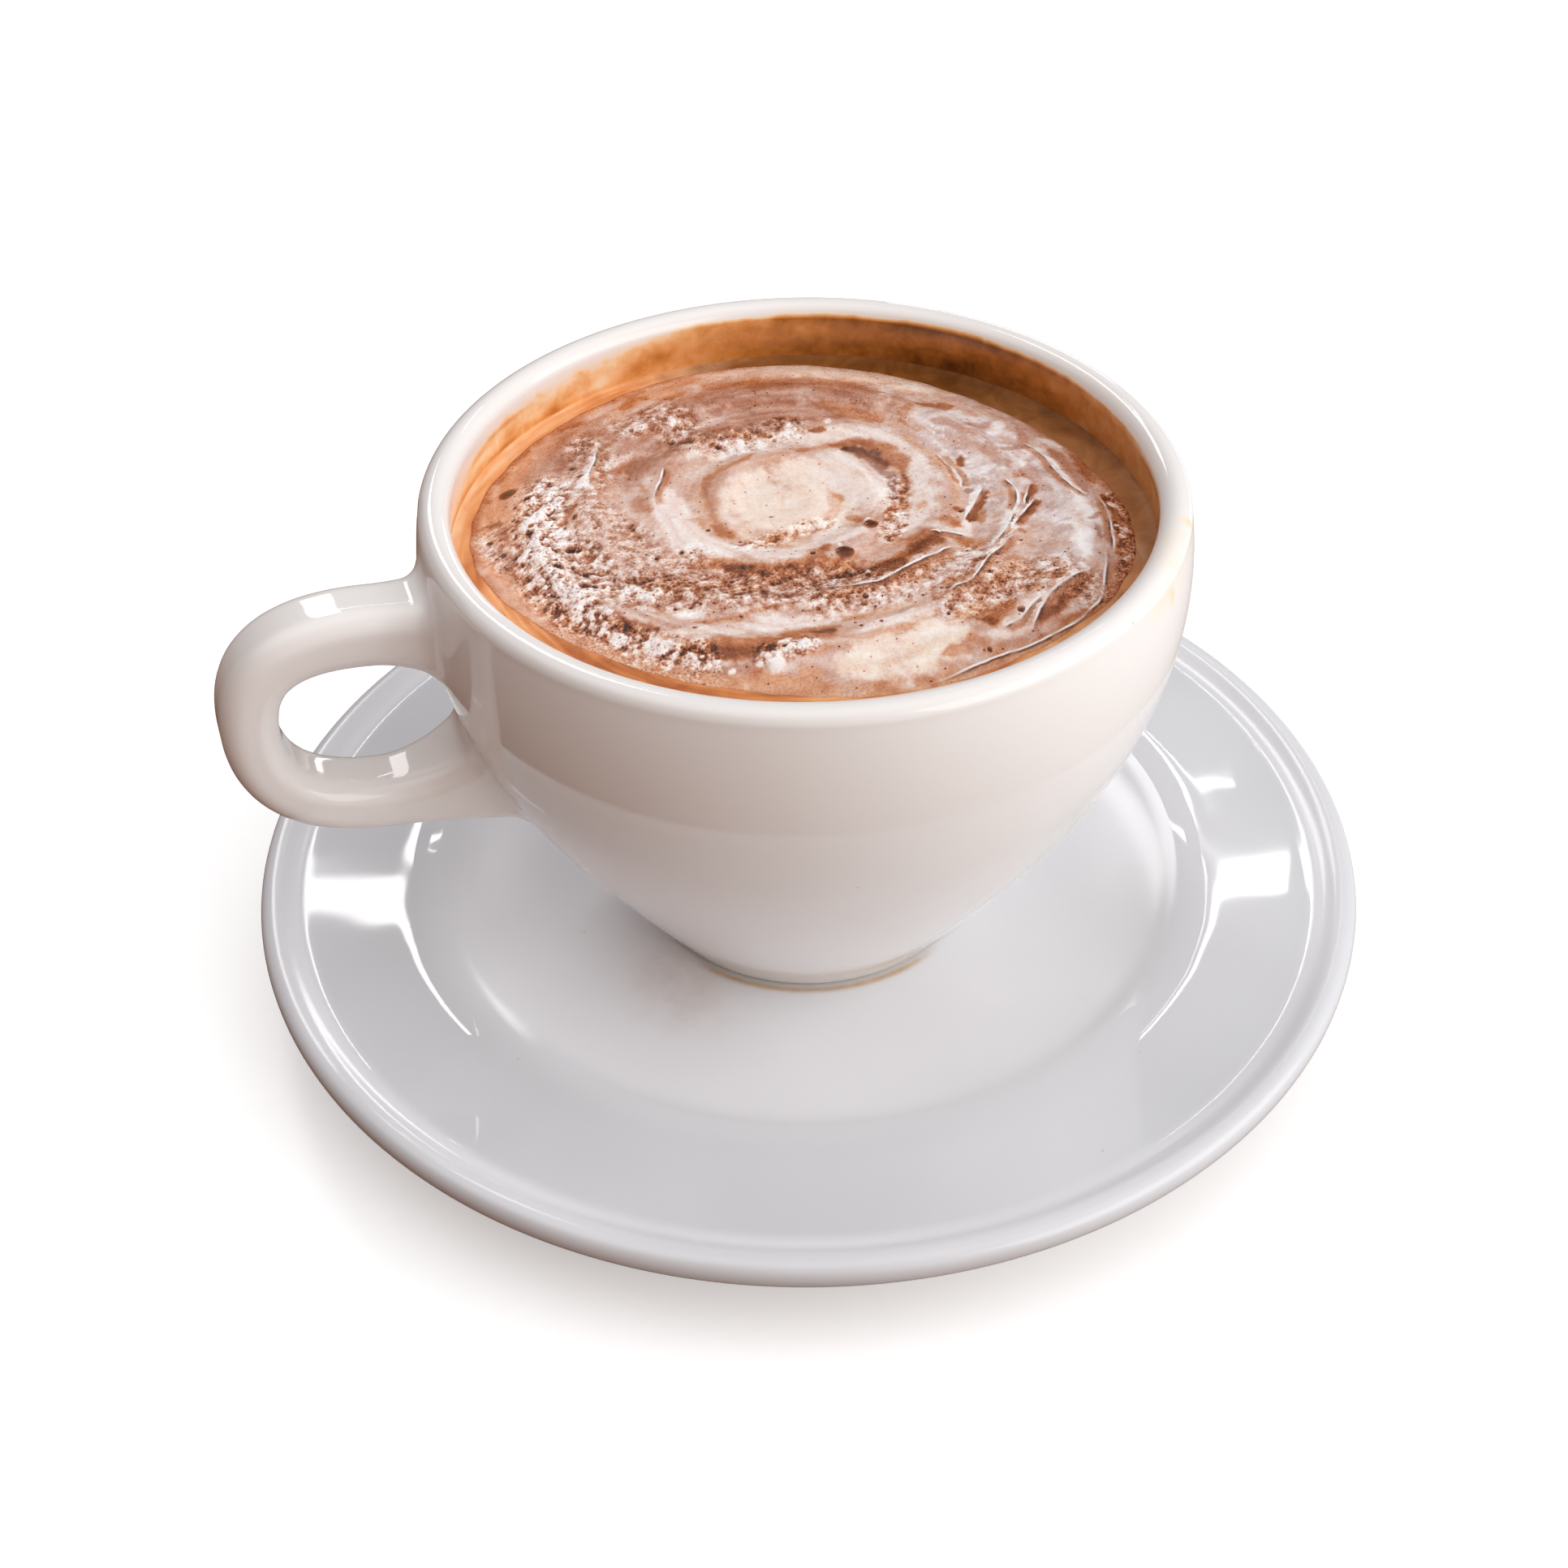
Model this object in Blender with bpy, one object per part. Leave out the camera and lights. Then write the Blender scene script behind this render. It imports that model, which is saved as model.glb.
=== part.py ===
"""Caffe mocha in a white glazed porcelain cup, standing on its own saucer.

The saucer is a turned plate with a flat well, a hollow slope, a nearly flat flange and a
rounded bead for a lip. The cup is a turned bowl on a small foot ring, and its ear handle is
fused to the wall. The drink fills the bowl to its level, and a thin cap of milk foam with
raised spiral swirls floats on it.

Metres, +Z up. The origin is on the table under the centre of the saucer, and the handle
points along -X.
"""
import math

import bmesh
import bpy
from mathutils import Vector

MM = 0.001

# Driving dimensions of the saucer, in millimetres from the table and from the axis.
SAUCER_RADIUS = 75.0
SAUCER_LIP_TOP = 15.7
SAUCER_LIP_CREST_RADIUS = 72.4
SAUCER_LIP_INNER_RADIUS = 69.6
SAUCER_BEND_RADIUS = 52.0
SAUCER_BEND_HEIGHT = 13.0
SAUCER_FLANGE_RISE = 0.8
SAUCER_WELL_RADIUS = 26.0
SAUCER_WELL_TOP = 8.0
SAUCER_THICKNESS = 4.0
SAUCER_FOOT_OUTER = 43.5
SAUCER_FOOT_WIDTH = 5.0
SAUCER_FOOT_DROP = 0.6

# Driving dimensions of the cup, in millimetres from its own foot and from the axis.
GAP = 0.3
CUP_HEIGHT = 65.4
CUP_WALL = 4.0
CUP_LIP_OUTER_RADIUS = 47.3
CUP_FOOT_RADIUS = 22.3
CUP_FOOT_WIDTH = 3.6
CUP_FOOT_HEIGHT = 1.0
CUP_FOOT_RECESS = 1.6
CUP_FLOOR = 6.5
CUP_FLOOR_FLAT_RADIUS = 14.0
CUP_FLOOR_BLEND = 3.5
# The wall's outer curve runs from the foot to the lip. These two handles give it its belly.
CUP_LOWER_HANDLE = (36.7, 21.1)
CUP_UPPER_HANDLE = (51.7, 40.2)

# The ear handle: its middle line is two curves that meet at its outermost point.
EAR_TOP_ROOT = (45.9, 54.5)
EAR_TOP_LEAD = (57.0, 57.5)
EAR_SHOULDER = (71.0, 59.7)
EAR_OUTERMOST = (71.0, 45.2)
EAR_HIP = (71.0, 32.2)
EAR_LOWER_LEAD = (57.5, 27.8)
EAR_LOWER_ROOT = (40.7, 33.0)
EAR_WIDTH = 9.4
EAR_TOP_THICKNESS = 8.4
EAR_LOWER_THICKNESS = 7.2
EAR_THIN = 0.8
EAR_CORNER = 2.6
EAR_TOP_FLARE = (3.2, 2.6)
EAR_LOWER_FLARE = (6.0, 6.5)
EAR_TOP_FLARE_LENGTH = 0.13
EAR_LOWER_FLARE_LENGTH = 0.17

# The drink and its foam, in millimetres from the cup's foot and from the axis.
DRINK_LEVEL = 56.9
FOAM_EDGE_THICKNESS = 0.5
FOAM_BODY = 1.1
FOAM_RIDGE = 1.0
FOAM_MEAN_RADIUS = 37.4
FOAM_OUTLINE = ((1, 3.6, 76.0), (2, 1.1, -26.0), (7, 0.35, 57.0), (13, 0.25, 115.0))
SWIRL_CENTRE = (-1.0, 6.0)
SWIRL_PITCH = 8.4
SWIRL_START = 0.35
SWIRL_FADE_IN = 7.0
FOAM_SHOULDER = 0.16

# How finely the round shapes are cut.
SAUCER_SIDES = 72
CUP_SIDES = 60
FOAM_SIDES = 72
FOAM_RINGS = 15
EAR_STATIONS = 14
CORNER_STEPS = 3
MERGE = 1e-7


def clear_scene():
    for item in list(bpy.data.objects):
        bpy.data.objects.remove(item, do_unlink=True)


def make_material(name, colour, roughness):
    material = bpy.data.materials.new(name)
    material.use_nodes = True
    shader = material.node_tree.nodes["Principled BSDF"]
    shader.inputs["Base Color"].default_value = (*colour, 1.0)
    shader.inputs["Roughness"].default_value = roughness
    shader.inputs["Metallic"].default_value = 0.0
    return material


def add_object(name, bm, material):
    bmesh.ops.recalc_face_normals(bm, faces=bm.faces)
    mesh = bpy.data.meshes.new(name)
    bm.to_mesh(mesh)
    bm.free()
    mesh.materials.append(material)
    mesh.shade_smooth()
    mesh.set_sharp_from_angle(angle=math.radians(40.0))
    item = bpy.data.objects.new(name, mesh)
    bpy.context.scene.collection.objects.link(item)
    return item


def bezier(start, lead_out, lead_in, end, steps):
    """Points of a cubic curve from start to end, both included."""
    points = []
    for i in range(steps + 1):
        t = i / steps
        weights = ((1 - t) ** 3, 3 * t * (1 - t) ** 2, 3 * t * t * (1 - t), t ** 3)
        corners = (start, lead_out, lead_in, end)
        points.append(tuple(sum(w * c[k] for w, c in zip(weights, corners)) for k in (0, 1)))
    return points


def arc(centre, radius, first, last, steps):
    """Points of a circle's arc between two angles in degrees, both included."""
    points = []
    for i in range(steps + 1):
        angle = math.radians(first + (last - first) * i / steps)
        points.append((centre[0] + radius * math.cos(angle), centre[1] + radius * math.sin(angle)))
    return points


def offset_inwards(points, distance):
    """Moves a rising profile sideways by distance, towards the axis."""
    moved = []
    for i, point in enumerate(points):
        before = points[max(i - 1, 0)]
        after = points[min(i + 1, len(points) - 1)]
        tangent = Vector((after[0] - before[0], after[1] - before[1])).normalized()
        moved.append((point[0] - tangent.y * distance, point[1] + tangent.x * distance))
    return moved


def turned(profile, sides, lift):
    """A closed solid turned from a profile that starts and ends on the axis."""
    bm = bmesh.new()
    verts = [bm.verts.new((r * MM, 0.0, (z + lift) * MM)) for r, z in profile]
    edges = [bm.edges.new(pair) for pair in zip(verts, verts[1:])]
    bmesh.ops.spin(bm, geom=verts + edges, cent=(0, 0, 0), axis=(0, 0, 1), angle=2 * math.pi,
                   steps=sides, use_merge=True, use_duplicate=False)
    bmesh.ops.remove_doubles(bm, verts=bm.verts, dist=MERGE)
    return bm


def saucer_profile():
    """From the middle of the well over the lip to the middle of the underside."""
    bend = (SAUCER_BEND_RADIUS, SAUCER_BEND_HEIGHT)
    flange_end = (SAUCER_LIP_INNER_RADIUS, SAUCER_BEND_HEIGHT + SAUCER_FLANGE_RISE)
    crest = (SAUCER_LIP_CREST_RADIUS, SAUCER_LIP_TOP)
    lip_edge = (SAUCER_RADIUS, SAUCER_LIP_TOP - 2.4)
    lip_under = (SAUCER_RADIUS - 2.6, SAUCER_LIP_TOP - 5.0)
    under_bend = (SAUCER_BEND_RADIUS + 1.0, SAUCER_BEND_HEIGHT - SAUCER_THICKNESS)
    foot_top = (SAUCER_FOOT_OUTER + 1.2, SAUCER_WELL_TOP - 2.2)
    foot_edge = (SAUCER_FOOT_OUTER, SAUCER_FOOT_DROP)
    foot_inner = SAUCER_FOOT_OUTER - SAUCER_FOOT_WIDTH
    underside = SAUCER_WELL_TOP - SAUCER_THICKNESS

    profile = [(0.0, SAUCER_WELL_TOP)]
    profile += bezier((SAUCER_WELL_RADIUS, SAUCER_WELL_TOP), (37.0, SAUCER_WELL_TOP), (46.5, 9.9), bend, 6)
    profile += bezier(flange_end, (70.8, flange_end[1] + 0.2), (71.0, SAUCER_LIP_TOP), crest, 3)
    profile += bezier(crest, (73.9, SAUCER_LIP_TOP), (SAUCER_RADIUS, 14.9), lip_edge, 3)[1:]
    profile += bezier(lip_edge, (SAUCER_RADIUS, 11.8), (73.9, lip_under[1]), lip_under, 2)[1:]
    profile += [under_bend]
    profile += [foot_top, foot_edge, (SAUCER_FOOT_OUTER - SAUCER_FOOT_DROP, 0.0)]
    profile += [(foot_inner + SAUCER_FOOT_DROP, 0.0), (foot_inner, SAUCER_FOOT_DROP)]
    profile += [(foot_inner - 0.8, underside), (0.0, underside)]
    return profile


def cup_outer_curve(steps):
    """The wall's outer curve, from the top of the foot to the start of the lip."""
    start = (CUP_FOOT_RADIUS + 0.2, CUP_FOOT_HEIGHT)
    end = (CUP_LIP_OUTER_RADIUS, CUP_HEIGHT - CUP_WALL / 2)
    return bezier(start, CUP_LOWER_HANDLE, CUP_UPPER_HANDLE, end, steps)


def bowl_curve(distance, steps):
    """The hollow's curve: a flat floor blended into the wall, distance inside the outer curve."""
    floor = CUP_FLOOR + distance - CUP_WALL
    wall = [p for p in offset_inwards(cup_outer_curve(steps), distance) if p[1] > floor + CUP_FLOOR_BLEND]
    rise = Vector(wall[1]) - Vector(wall[0])
    lead = Vector(wall[0]) - rise.normalized() * CUP_FLOOR_BLEND
    flat_end = (CUP_FLOOR_FLAT_RADIUS, floor)
    blend = bezier(flat_end, (lead.x, floor), tuple(lead), wall[0], 3)
    return [(0.0, floor)] + blend + wall[1:]


def cup_profile():
    """From the middle of the hollow's floor over the lip to the middle of the underside."""
    inner = bowl_curve(CUP_WALL, 11)
    lip_centre = (CUP_LIP_OUTER_RADIUS - CUP_WALL / 2, CUP_HEIGHT - CUP_WALL / 2)
    lip = arc(lip_centre, CUP_WALL / 2, 180.0, 0.0, 5)
    outer = list(reversed(cup_outer_curve(10)))
    foot_inner = CUP_FOOT_RADIUS - CUP_FOOT_WIDTH
    foot = [(CUP_FOOT_RADIUS, 0.0), (foot_inner, 0.0), (foot_inner - 0.8, CUP_FOOT_RECESS)]
    return inner[:-1] + lip + outer[1:] + foot + [(0.0, CUP_FOOT_RECESS)]


def rounded_section(width, thickness, corner):
    """A rounded rectangle around the origin, width along the first axis."""
    corner = min(corner, width / 2, thickness / 2)
    points = []
    for quarter, (sx, sy) in enumerate(((1, 1), (-1, 1), (-1, -1), (1, -1))):
        centre = (sx * (width / 2 - corner), sy * (thickness / 2 - corner))
        points += arc(centre, corner, 90.0 * quarter, 90.0 * (quarter + 1), CORNER_STEPS)
    return points


def flare(distance_from_root, reach):
    """1 at the root, easing to 0 at the end of its reach."""
    t = max(0.0, 1.0 - distance_from_root / reach)
    return t * t


def ear_handle(lift):
    """The handle as rings bridged along its middle line, with both ends closed."""
    upper = bezier(EAR_TOP_ROOT, EAR_TOP_LEAD, EAR_SHOULDER, EAR_OUTERMOST, EAR_STATIONS)
    lower = bezier(EAR_OUTERMOST, EAR_HIP, EAR_LOWER_LEAD, EAR_LOWER_ROOT, EAR_STATIONS)
    line = upper + lower[1:]
    last = len(line) - 1
    bm = bmesh.new()
    rings = []
    for i, (reach, height) in enumerate(line):
        u = i / last
        before = line[max(i - 1, 0)]
        after = line[min(i + 1, last)]
        tangent = Vector((-(after[0] - before[0]), 0.0, after[1] - before[1])).normalized()
        across = Vector((0.0, 1.0, 0.0))
        outwards = across.cross(tangent)
        top = flare(u, EAR_TOP_FLARE_LENGTH)
        low = flare(1.0 - u, EAR_LOWER_FLARE_LENGTH)
        width = EAR_WIDTH + top * EAR_TOP_FLARE[0] + low * EAR_LOWER_FLARE[0]
        thickness = EAR_TOP_THICKNESS + u * (EAR_LOWER_THICKNESS - EAR_TOP_THICKNESS)
        thickness -= EAR_THIN * math.sin(math.pi * u) ** 2
        thickness += top * EAR_TOP_FLARE[1] + low * EAR_LOWER_FLARE[1]
        centre = Vector((-reach, 0.0, height + lift))
        section = rounded_section(width, thickness, EAR_CORNER)
        ring = [bm.verts.new((centre + across * a + outwards * b) * MM) for a, b in section]
        rings.append([bm.edges.new((ring[k - 1], ring[k])) for k in range(len(ring))])
    for first, second in zip(rings, rings[1:]):
        bmesh.ops.bridge_loops(bm, edges=first + second)
    bmesh.ops.edgeloop_fill(bm, edges=rings[0])
    bmesh.ops.edgeloop_fill(bm, edges=rings[-1])
    return bm


def fuse(base, tool):
    """Joins tool to base with a Boolean union, and removes tool."""
    union = base.modifiers.new("fuse", "BOOLEAN")
    union.operation = "UNION"
    union.solver = "EXACT"
    union.object = tool
    depsgraph = bpy.context.evaluated_depsgraph_get()
    fused = bpy.data.meshes.new_from_object(base.evaluated_get(depsgraph))
    base.modifiers.remove(union)
    base.data = fused
    bpy.data.objects.remove(tool, do_unlink=True)
    base.data.shade_smooth()
    base.data.set_sharp_from_angle(angle=math.radians(40.0))


def drink_profile():
    """The drink fills the hollow up to its level, a small gap away from the wall."""
    inner = [p for p in bowl_curve(CUP_WALL + GAP, 11) if p[1] < DRINK_LEVEL - 1.0]
    below, above = inner[-2], inner[-1]
    slope = (above[0] - below[0]) / (above[1] - below[1])
    rim = (above[0] + 0.5 * slope * (DRINK_LEVEL - above[1]), DRINK_LEVEL)
    return [(0.0, DRINK_LEVEL), rim] + list(reversed(inner))


def foam_edge(angle):
    """The distance of the foam's edge from the cup's axis."""
    radius = FOAM_MEAN_RADIUS
    for turns, size, start in FOAM_OUTLINE:
        radius += size * math.cos(turns * (angle - math.radians(start)))
    return radius


def foam_height(x, y, inset):
    """How high the foam's top lies over its underside; inset is 0 at its edge, 1 in the middle."""
    dx, dy = x - SWIRL_CENTRE[0], y - SWIRL_CENTRE[1]
    distance = math.hypot(dx, dy)
    turn = math.atan2(dy, dx) / (2 * math.pi)
    wave = 0.5 + 0.5 * math.cos(2 * math.pi * (distance / SWIRL_PITCH + turn - SWIRL_START))
    ridge = FOAM_RIDGE * wave * min(1.0, distance / SWIRL_FADE_IN)
    shoulder = math.sqrt(min(1.0, max(0.0, inset) / FOAM_SHOULDER))
    return FOAM_EDGE_THICKNESS + shoulder * (FOAM_BODY + ridge - FOAM_EDGE_THICKNESS)


def foam_cap(lift):
    """A disc spun from a radius, pushed out to the foam's edge and raised into its swirls."""
    base = DRINK_LEVEL + GAP + lift
    bm = bmesh.new()
    verts = [bm.verts.new((i / FOAM_RINGS, 0.0, 0.0)) for i in range(FOAM_RINGS + 1)]
    edges = [bm.edges.new(pair) for pair in zip(verts, verts[1:])]
    bmesh.ops.spin(bm, geom=verts + edges, cent=(0, 0, 0), axis=(0, 0, 1), angle=2 * math.pi,
                   steps=FOAM_SIDES, use_merge=True, use_duplicate=False)
    bmesh.ops.remove_doubles(bm, verts=bm.verts, dist=MERGE)
    for vert in bm.verts:
        share = math.hypot(vert.co.x, vert.co.y)
        angle = math.atan2(vert.co.y, vert.co.x)
        radius = share * foam_edge(angle)
        x = radius * math.cos(angle)
        y = radius * math.sin(angle)
        vert.co = Vector((x, y, base + foam_height(x, y, 1.0 - share))) * MM
    rim = [edge for edge in bm.edges if edge.is_boundary]
    grown = bmesh.ops.extrude_edge_only(bm, edges=rim)["geom"]
    for vert in [item for item in grown if isinstance(item, bmesh.types.BMVert)]:
        vert.co.z = base * MM
    bottom = [item for item in grown if isinstance(item, bmesh.types.BMEdge)]
    bottom = [edge for edge in bottom if edge.is_boundary]
    bmesh.ops.edgeloop_fill(bm, edges=bottom)
    return bm


def build():
    clear_scene()
    cup_lift = SAUCER_WELL_TOP + GAP
    porcelain = make_material("cup_glaze", (0.88, 0.87, 0.86), 0.12)
    saucer_glaze = make_material("saucer_glaze", (0.80, 0.80, 0.81), 0.14)
    coffee = make_material("mocha", (0.23, 0.09, 0.03), 0.15)
    froth = make_material("milk_foam", (0.58, 0.38, 0.28), 0.45)

    add_object("saucer", turned(saucer_profile(), SAUCER_SIDES, 0.0), saucer_glaze)
    cup = add_object("cup", turned(cup_profile(), CUP_SIDES, cup_lift), porcelain)
    ear = add_object("ear", ear_handle(cup_lift), porcelain)
    fuse(cup, ear)
    add_object("mocha_drink", turned(drink_profile(), CUP_SIDES, cup_lift), coffee)
    add_object("milk_foam", foam_cap(cup_lift), froth)


build()
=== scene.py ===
# %% [markdown]
# # A caffe mocha in its cup and saucer
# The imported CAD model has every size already. This lesson dresses it for a picture: it keeps the
# frame as it is, builds a finer cup, saucer, drink and foam in the same place, and gives each its
# finish. Everything is in metres and stands on the table at z = 0, with the handle along -X.

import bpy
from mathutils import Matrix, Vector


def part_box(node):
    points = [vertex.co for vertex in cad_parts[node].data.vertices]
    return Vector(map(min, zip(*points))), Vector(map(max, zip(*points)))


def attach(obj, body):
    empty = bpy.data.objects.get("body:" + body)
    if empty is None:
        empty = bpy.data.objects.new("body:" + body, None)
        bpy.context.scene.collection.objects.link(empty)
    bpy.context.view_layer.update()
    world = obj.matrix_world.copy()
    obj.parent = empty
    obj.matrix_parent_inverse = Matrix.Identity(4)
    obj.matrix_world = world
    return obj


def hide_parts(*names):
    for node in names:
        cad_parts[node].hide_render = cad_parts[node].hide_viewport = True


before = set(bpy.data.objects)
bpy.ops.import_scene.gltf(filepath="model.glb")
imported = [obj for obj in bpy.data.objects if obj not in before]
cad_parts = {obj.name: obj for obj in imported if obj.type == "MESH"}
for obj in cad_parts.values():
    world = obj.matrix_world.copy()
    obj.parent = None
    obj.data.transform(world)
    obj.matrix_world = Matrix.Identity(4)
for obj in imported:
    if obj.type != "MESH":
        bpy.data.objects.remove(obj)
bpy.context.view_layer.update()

# %% Tools for the whole lesson
import math

import bmesh
import bpy
import numpy as np
from mathutils import Matrix, Vector

MM = 0.001
TURN = 2 * math.pi

# %% [markdown]
# ## Camera and stage
# The cup is seen from above its front left, by a lens a little longer than normal. The camera is
# placed round a point inside the cup by its distance, its height above the horizon and its turn,
# because those are the things one changes when framing a picture.

# %% Camera
AIM = Vector((-2.90, 0.94, 24.63)) * MM
CAMERA_DISTANCE = 310.7 * MM
CAMERA_ELEVATION = math.radians(40.08)
CAMERA_AZIMUTH = math.radians(252.0)
CAMERA_ROLL = math.radians(-0.92)
CAMERA_LENS = 52.4
SENSOR_WIDTH = 36.0

camera_way = Vector((math.cos(CAMERA_ELEVATION) * math.cos(CAMERA_AZIMUTH),
                     math.cos(CAMERA_ELEVATION) * math.sin(CAMERA_AZIMUTH),
                     math.sin(CAMERA_ELEVATION)))
camera_data = bpy.data.cameras.new("camera")
camera_data.lens = CAMERA_LENS
camera_data.sensor_width = SENSOR_WIDTH
camera_data.clip_start = 10 * MM
camera = bpy.data.objects.new("camera", camera_data)
bpy.context.scene.collection.objects.link(camera)
CAMERA_PLACE = AIM + camera_way * CAMERA_DISTANCE
look = (-camera_way).to_track_quat("-Z", "Y").to_matrix().to_4x4()
camera.matrix_world = Matrix.Translation(CAMERA_PLACE) @ look @ Matrix.Rotation(CAMERA_ROLL, 4, "Z")
bpy.context.scene.camera = camera
bpy.context.scene.view_settings.view_transform = "Standard"
print("camera at, mm:", [round(value / MM, 1) for value in CAMERA_PLACE])


# %% Node helper
def node(tree, kind, inputs=None, **settings):
    """Adds a node, changes its settings, and fills or links its inputs."""
    item = tree.nodes.new(kind)
    for name, value in settings.items():
        setattr(item, name, value)
    for key, value in (inputs or {}).items():
        if isinstance(value, bpy.types.NodeSocket):
            tree.links.new(value, item.inputs[key])
        else:
            item.inputs[key].default_value = value
    return item


def tint(red, green, blue):
    """A colour as a screen shows it, 0 to 255, turned into the linear light that shaders use."""
    parts = []
    for value in (red / 255, green / 255, blue / 255):
        parts.append(value / 12.92 if value <= 0.04045 else ((value + 0.055) / 1.055) ** 2.4)
    return (*parts, 1.0)


def ramp(tree, factor, stops, interpolation="LINEAR"):
    """A colour ramp with the given (place, colour) stops."""
    item = node(tree, "ShaderNodeValToRGB", {"Fac": factor})
    item.color_ramp.interpolation = interpolation
    marks = item.color_ramp.elements
    while len(marks) < len(stops):
        marks.new(1.0)
    for mark, (place, colour) in zip(marks, stops):
        mark.position = place
        mark.color = colour
    return item.outputs["Color"]


def math_node(tree, operation, first, second=0.0, third=0.0, clamp=False):
    """One sum on values, each of them a number or another node's output."""
    item = node(tree, "ShaderNodeMath", {0: first, 1: second, 2: third}, operation=operation, use_clamp=clamp)
    return item.outputs[0]


def blend_colours(tree, factor, first, second):
    """Mixes two colours; factor 0 gives the first."""
    item = node(tree, "ShaderNodeMix", {"Factor": factor}, data_type="RGBA")
    for socket, value in ((item.inputs[6], first), (item.inputs[7], second)):
        if isinstance(value, bpy.types.NodeSocket):
            tree.links.new(value, socket)
        else:
            socket.default_value = value
    return item.outputs[2]


def noise(tree, place, scale, detail=3.0, roughness=0.5, distortion=0.0):
    """Cloudy noise from 0 to 1 at that many lumps a metre."""
    item = node(tree, "ShaderNodeTexNoise", {"Vector": place, "Scale": scale, "Detail": detail,
                                             "Roughness": roughness, "Distortion": distortion})
    return item.outputs["Fac"]


def new_material(name):
    """A material with only its Principled BSDF, and the tree to add to."""
    material = bpy.data.materials.new(name)
    material.use_nodes = True
    tree = material.node_tree
    return material, tree, tree.nodes["Principled BSDF"]


def link(tree, source, shader, socket):
    """Feeds a node's output into one of the shader's sockets."""
    tree.links.new(source, shader.inputs[socket])


# %% [markdown]
# The floor is a plain pale sheet. It looks white to the camera, but the light that bounces off it
# is that of a wooden table top at the front left, because that bounce gives the cup its warm side.

# %% Floor
FLOOR_HALF = 3.0
FLOOR_DROP = 0.02 * MM
FLOOR_GLOW = 0.35
TABLE_BROWN = tint(120, 76, 46)
TABLE_PALE = tint(240, 238, 236)
ROOM_RIGHT = (0.97, -0.22, 0.0)
TABLE_SPREAD = 3.5
TABLE_MIDDLE = 0.25

bm = bmesh.new()
bmesh.ops.create_grid(bm, x_segments=2, y_segments=2, size=FLOOR_HALF)
bmesh.ops.translate(bm, verts=bm.verts, vec=(0, 0, -FLOOR_DROP))
floor_mesh = bpy.data.meshes.new("floor")
bm.to_mesh(floor_mesh)
bm.free()
floor = bpy.data.objects.new("floor", floor_mesh)
bpy.context.scene.collection.objects.link(floor)

floor_material, tree, shader = new_material("floor_paper")
place = node(tree, "ShaderNodeTexCoord").outputs["Object"]
across = node(tree, "ShaderNodeVectorMath", {0: place, 1: ROOM_RIGHT}, operation="DOT_PRODUCT")
side = math_node(tree, "MULTIPLY_ADD", across.outputs["Value"], TABLE_SPREAD, TABLE_MIDDLE, clamp=True)
bounced = blend_colours(tree, side, TABLE_BROWN, TABLE_PALE)
seen = node(tree, "ShaderNodeLightPath").outputs["Is Camera Ray"]
paper = ramp(tree, noise(tree, place, 400.0), [(0.0, tint(244, 244, 244)), (1.0, tint(250, 250, 250))])
link(tree, blend_colours(tree, seen, bounced, paper), shader, "Base Color")
link(tree, math_node(tree, "MULTIPLY", seen, FLOOR_GLOW), shader, "Emission Strength")
shader.inputs["Emission Color"].default_value = (1.0, 1.0, 1.0, 1.0)
shader.inputs["Roughness"].default_value = 0.9
shader.inputs["Specular IOR Level"].default_value = 0.1
floor_mesh.materials.append(floor_material)
print("floor:", 2 * FLOOR_HALF, "m across,", len(tree.nodes), "nodes in its material")

# %% [markdown]
# The light is a soft white room. The world is bright overhead and on the right, brown and dim on
# the left, where a wooden room would be, and grey behind, so that the flat glaze mirrors something
# plain. The colours round the room are mixed by how far a direction points to the right, and the
# sky and the far wall are laid over them.

# %% World
world = bpy.data.worlds.new("soft_room")
bpy.context.scene.world = world
world.use_nodes = True
tree = world.node_tree
background = tree.nodes["Background"]
ROOM_BACK = (0.22, 0.97, 0.0)
SKY_WAY = (-0.25, 0.06, 0.966)
SKY_SLOPE, SKY_START = 4.0, -2.8
FAR_WALL_SLOPE, FAR_WALL_START = 3.4, -1.9
ROOM_ROUND = ((0.0, (0.06, 0.022, 0.008, 1.0)), (0.3, (0.23, 0.10, 0.035, 1.0)),
              (0.5, (0.69, 0.555, 0.465, 1.0)), (0.72, (1.0, 1.0, 1.0, 1.0)), (1.0, (1.0, 1.0, 1.0, 1.0)))
ROOM_TOP = (1.34, 1.38, 1.43, 1.0)
ROOM_FAR_WALL = (0.20, 0.19, 0.19, 1.0)
ROOM_BACKDROP = (0.97, 0.97, 0.97, 1.0)


def toward(tree, way, side):
    """How far a direction points to that side: 0 away from it, 1 straight at it."""
    along = node(tree, "ShaderNodeVectorMath", {0: way, 1: side}, operation="DOT_PRODUCT").outputs["Value"]
    return math_node(tree, "MULTIPLY_ADD", along, 0.5, 0.5)


way = node(tree, "ShaderNodeTexCoord").outputs["Generated"]
around = ramp(tree, toward(tree, way, ROOM_RIGHT), ROOM_ROUND, "EASE")
above = node(tree, "ShaderNodeVectorMath", {0: way, 1: SKY_WAY}, operation="DOT_PRODUCT").outputs["Value"]
overhead = math_node(tree, "MULTIPLY_ADD", above, SKY_SLOPE, SKY_START, clamp=True)
lit = blend_colours(tree, overhead, around, ROOM_TOP)
behind = toward(tree, way, ROOM_BACK)
behind = math_node(tree, "MULTIPLY_ADD", behind, FAR_WALL_SLOPE, FAR_WALL_START, clamp=True)
lit = blend_colours(tree, behind, lit, ROOM_FAR_WALL)
seen = node(tree, "ShaderNodeLightPath").outputs["Is Camera Ray"]
tree.links.new(blend_colours(tree, seen, lit, ROOM_BACKDROP), background.inputs["Color"])
print("world:", len(tree.nodes), "nodes")

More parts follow.
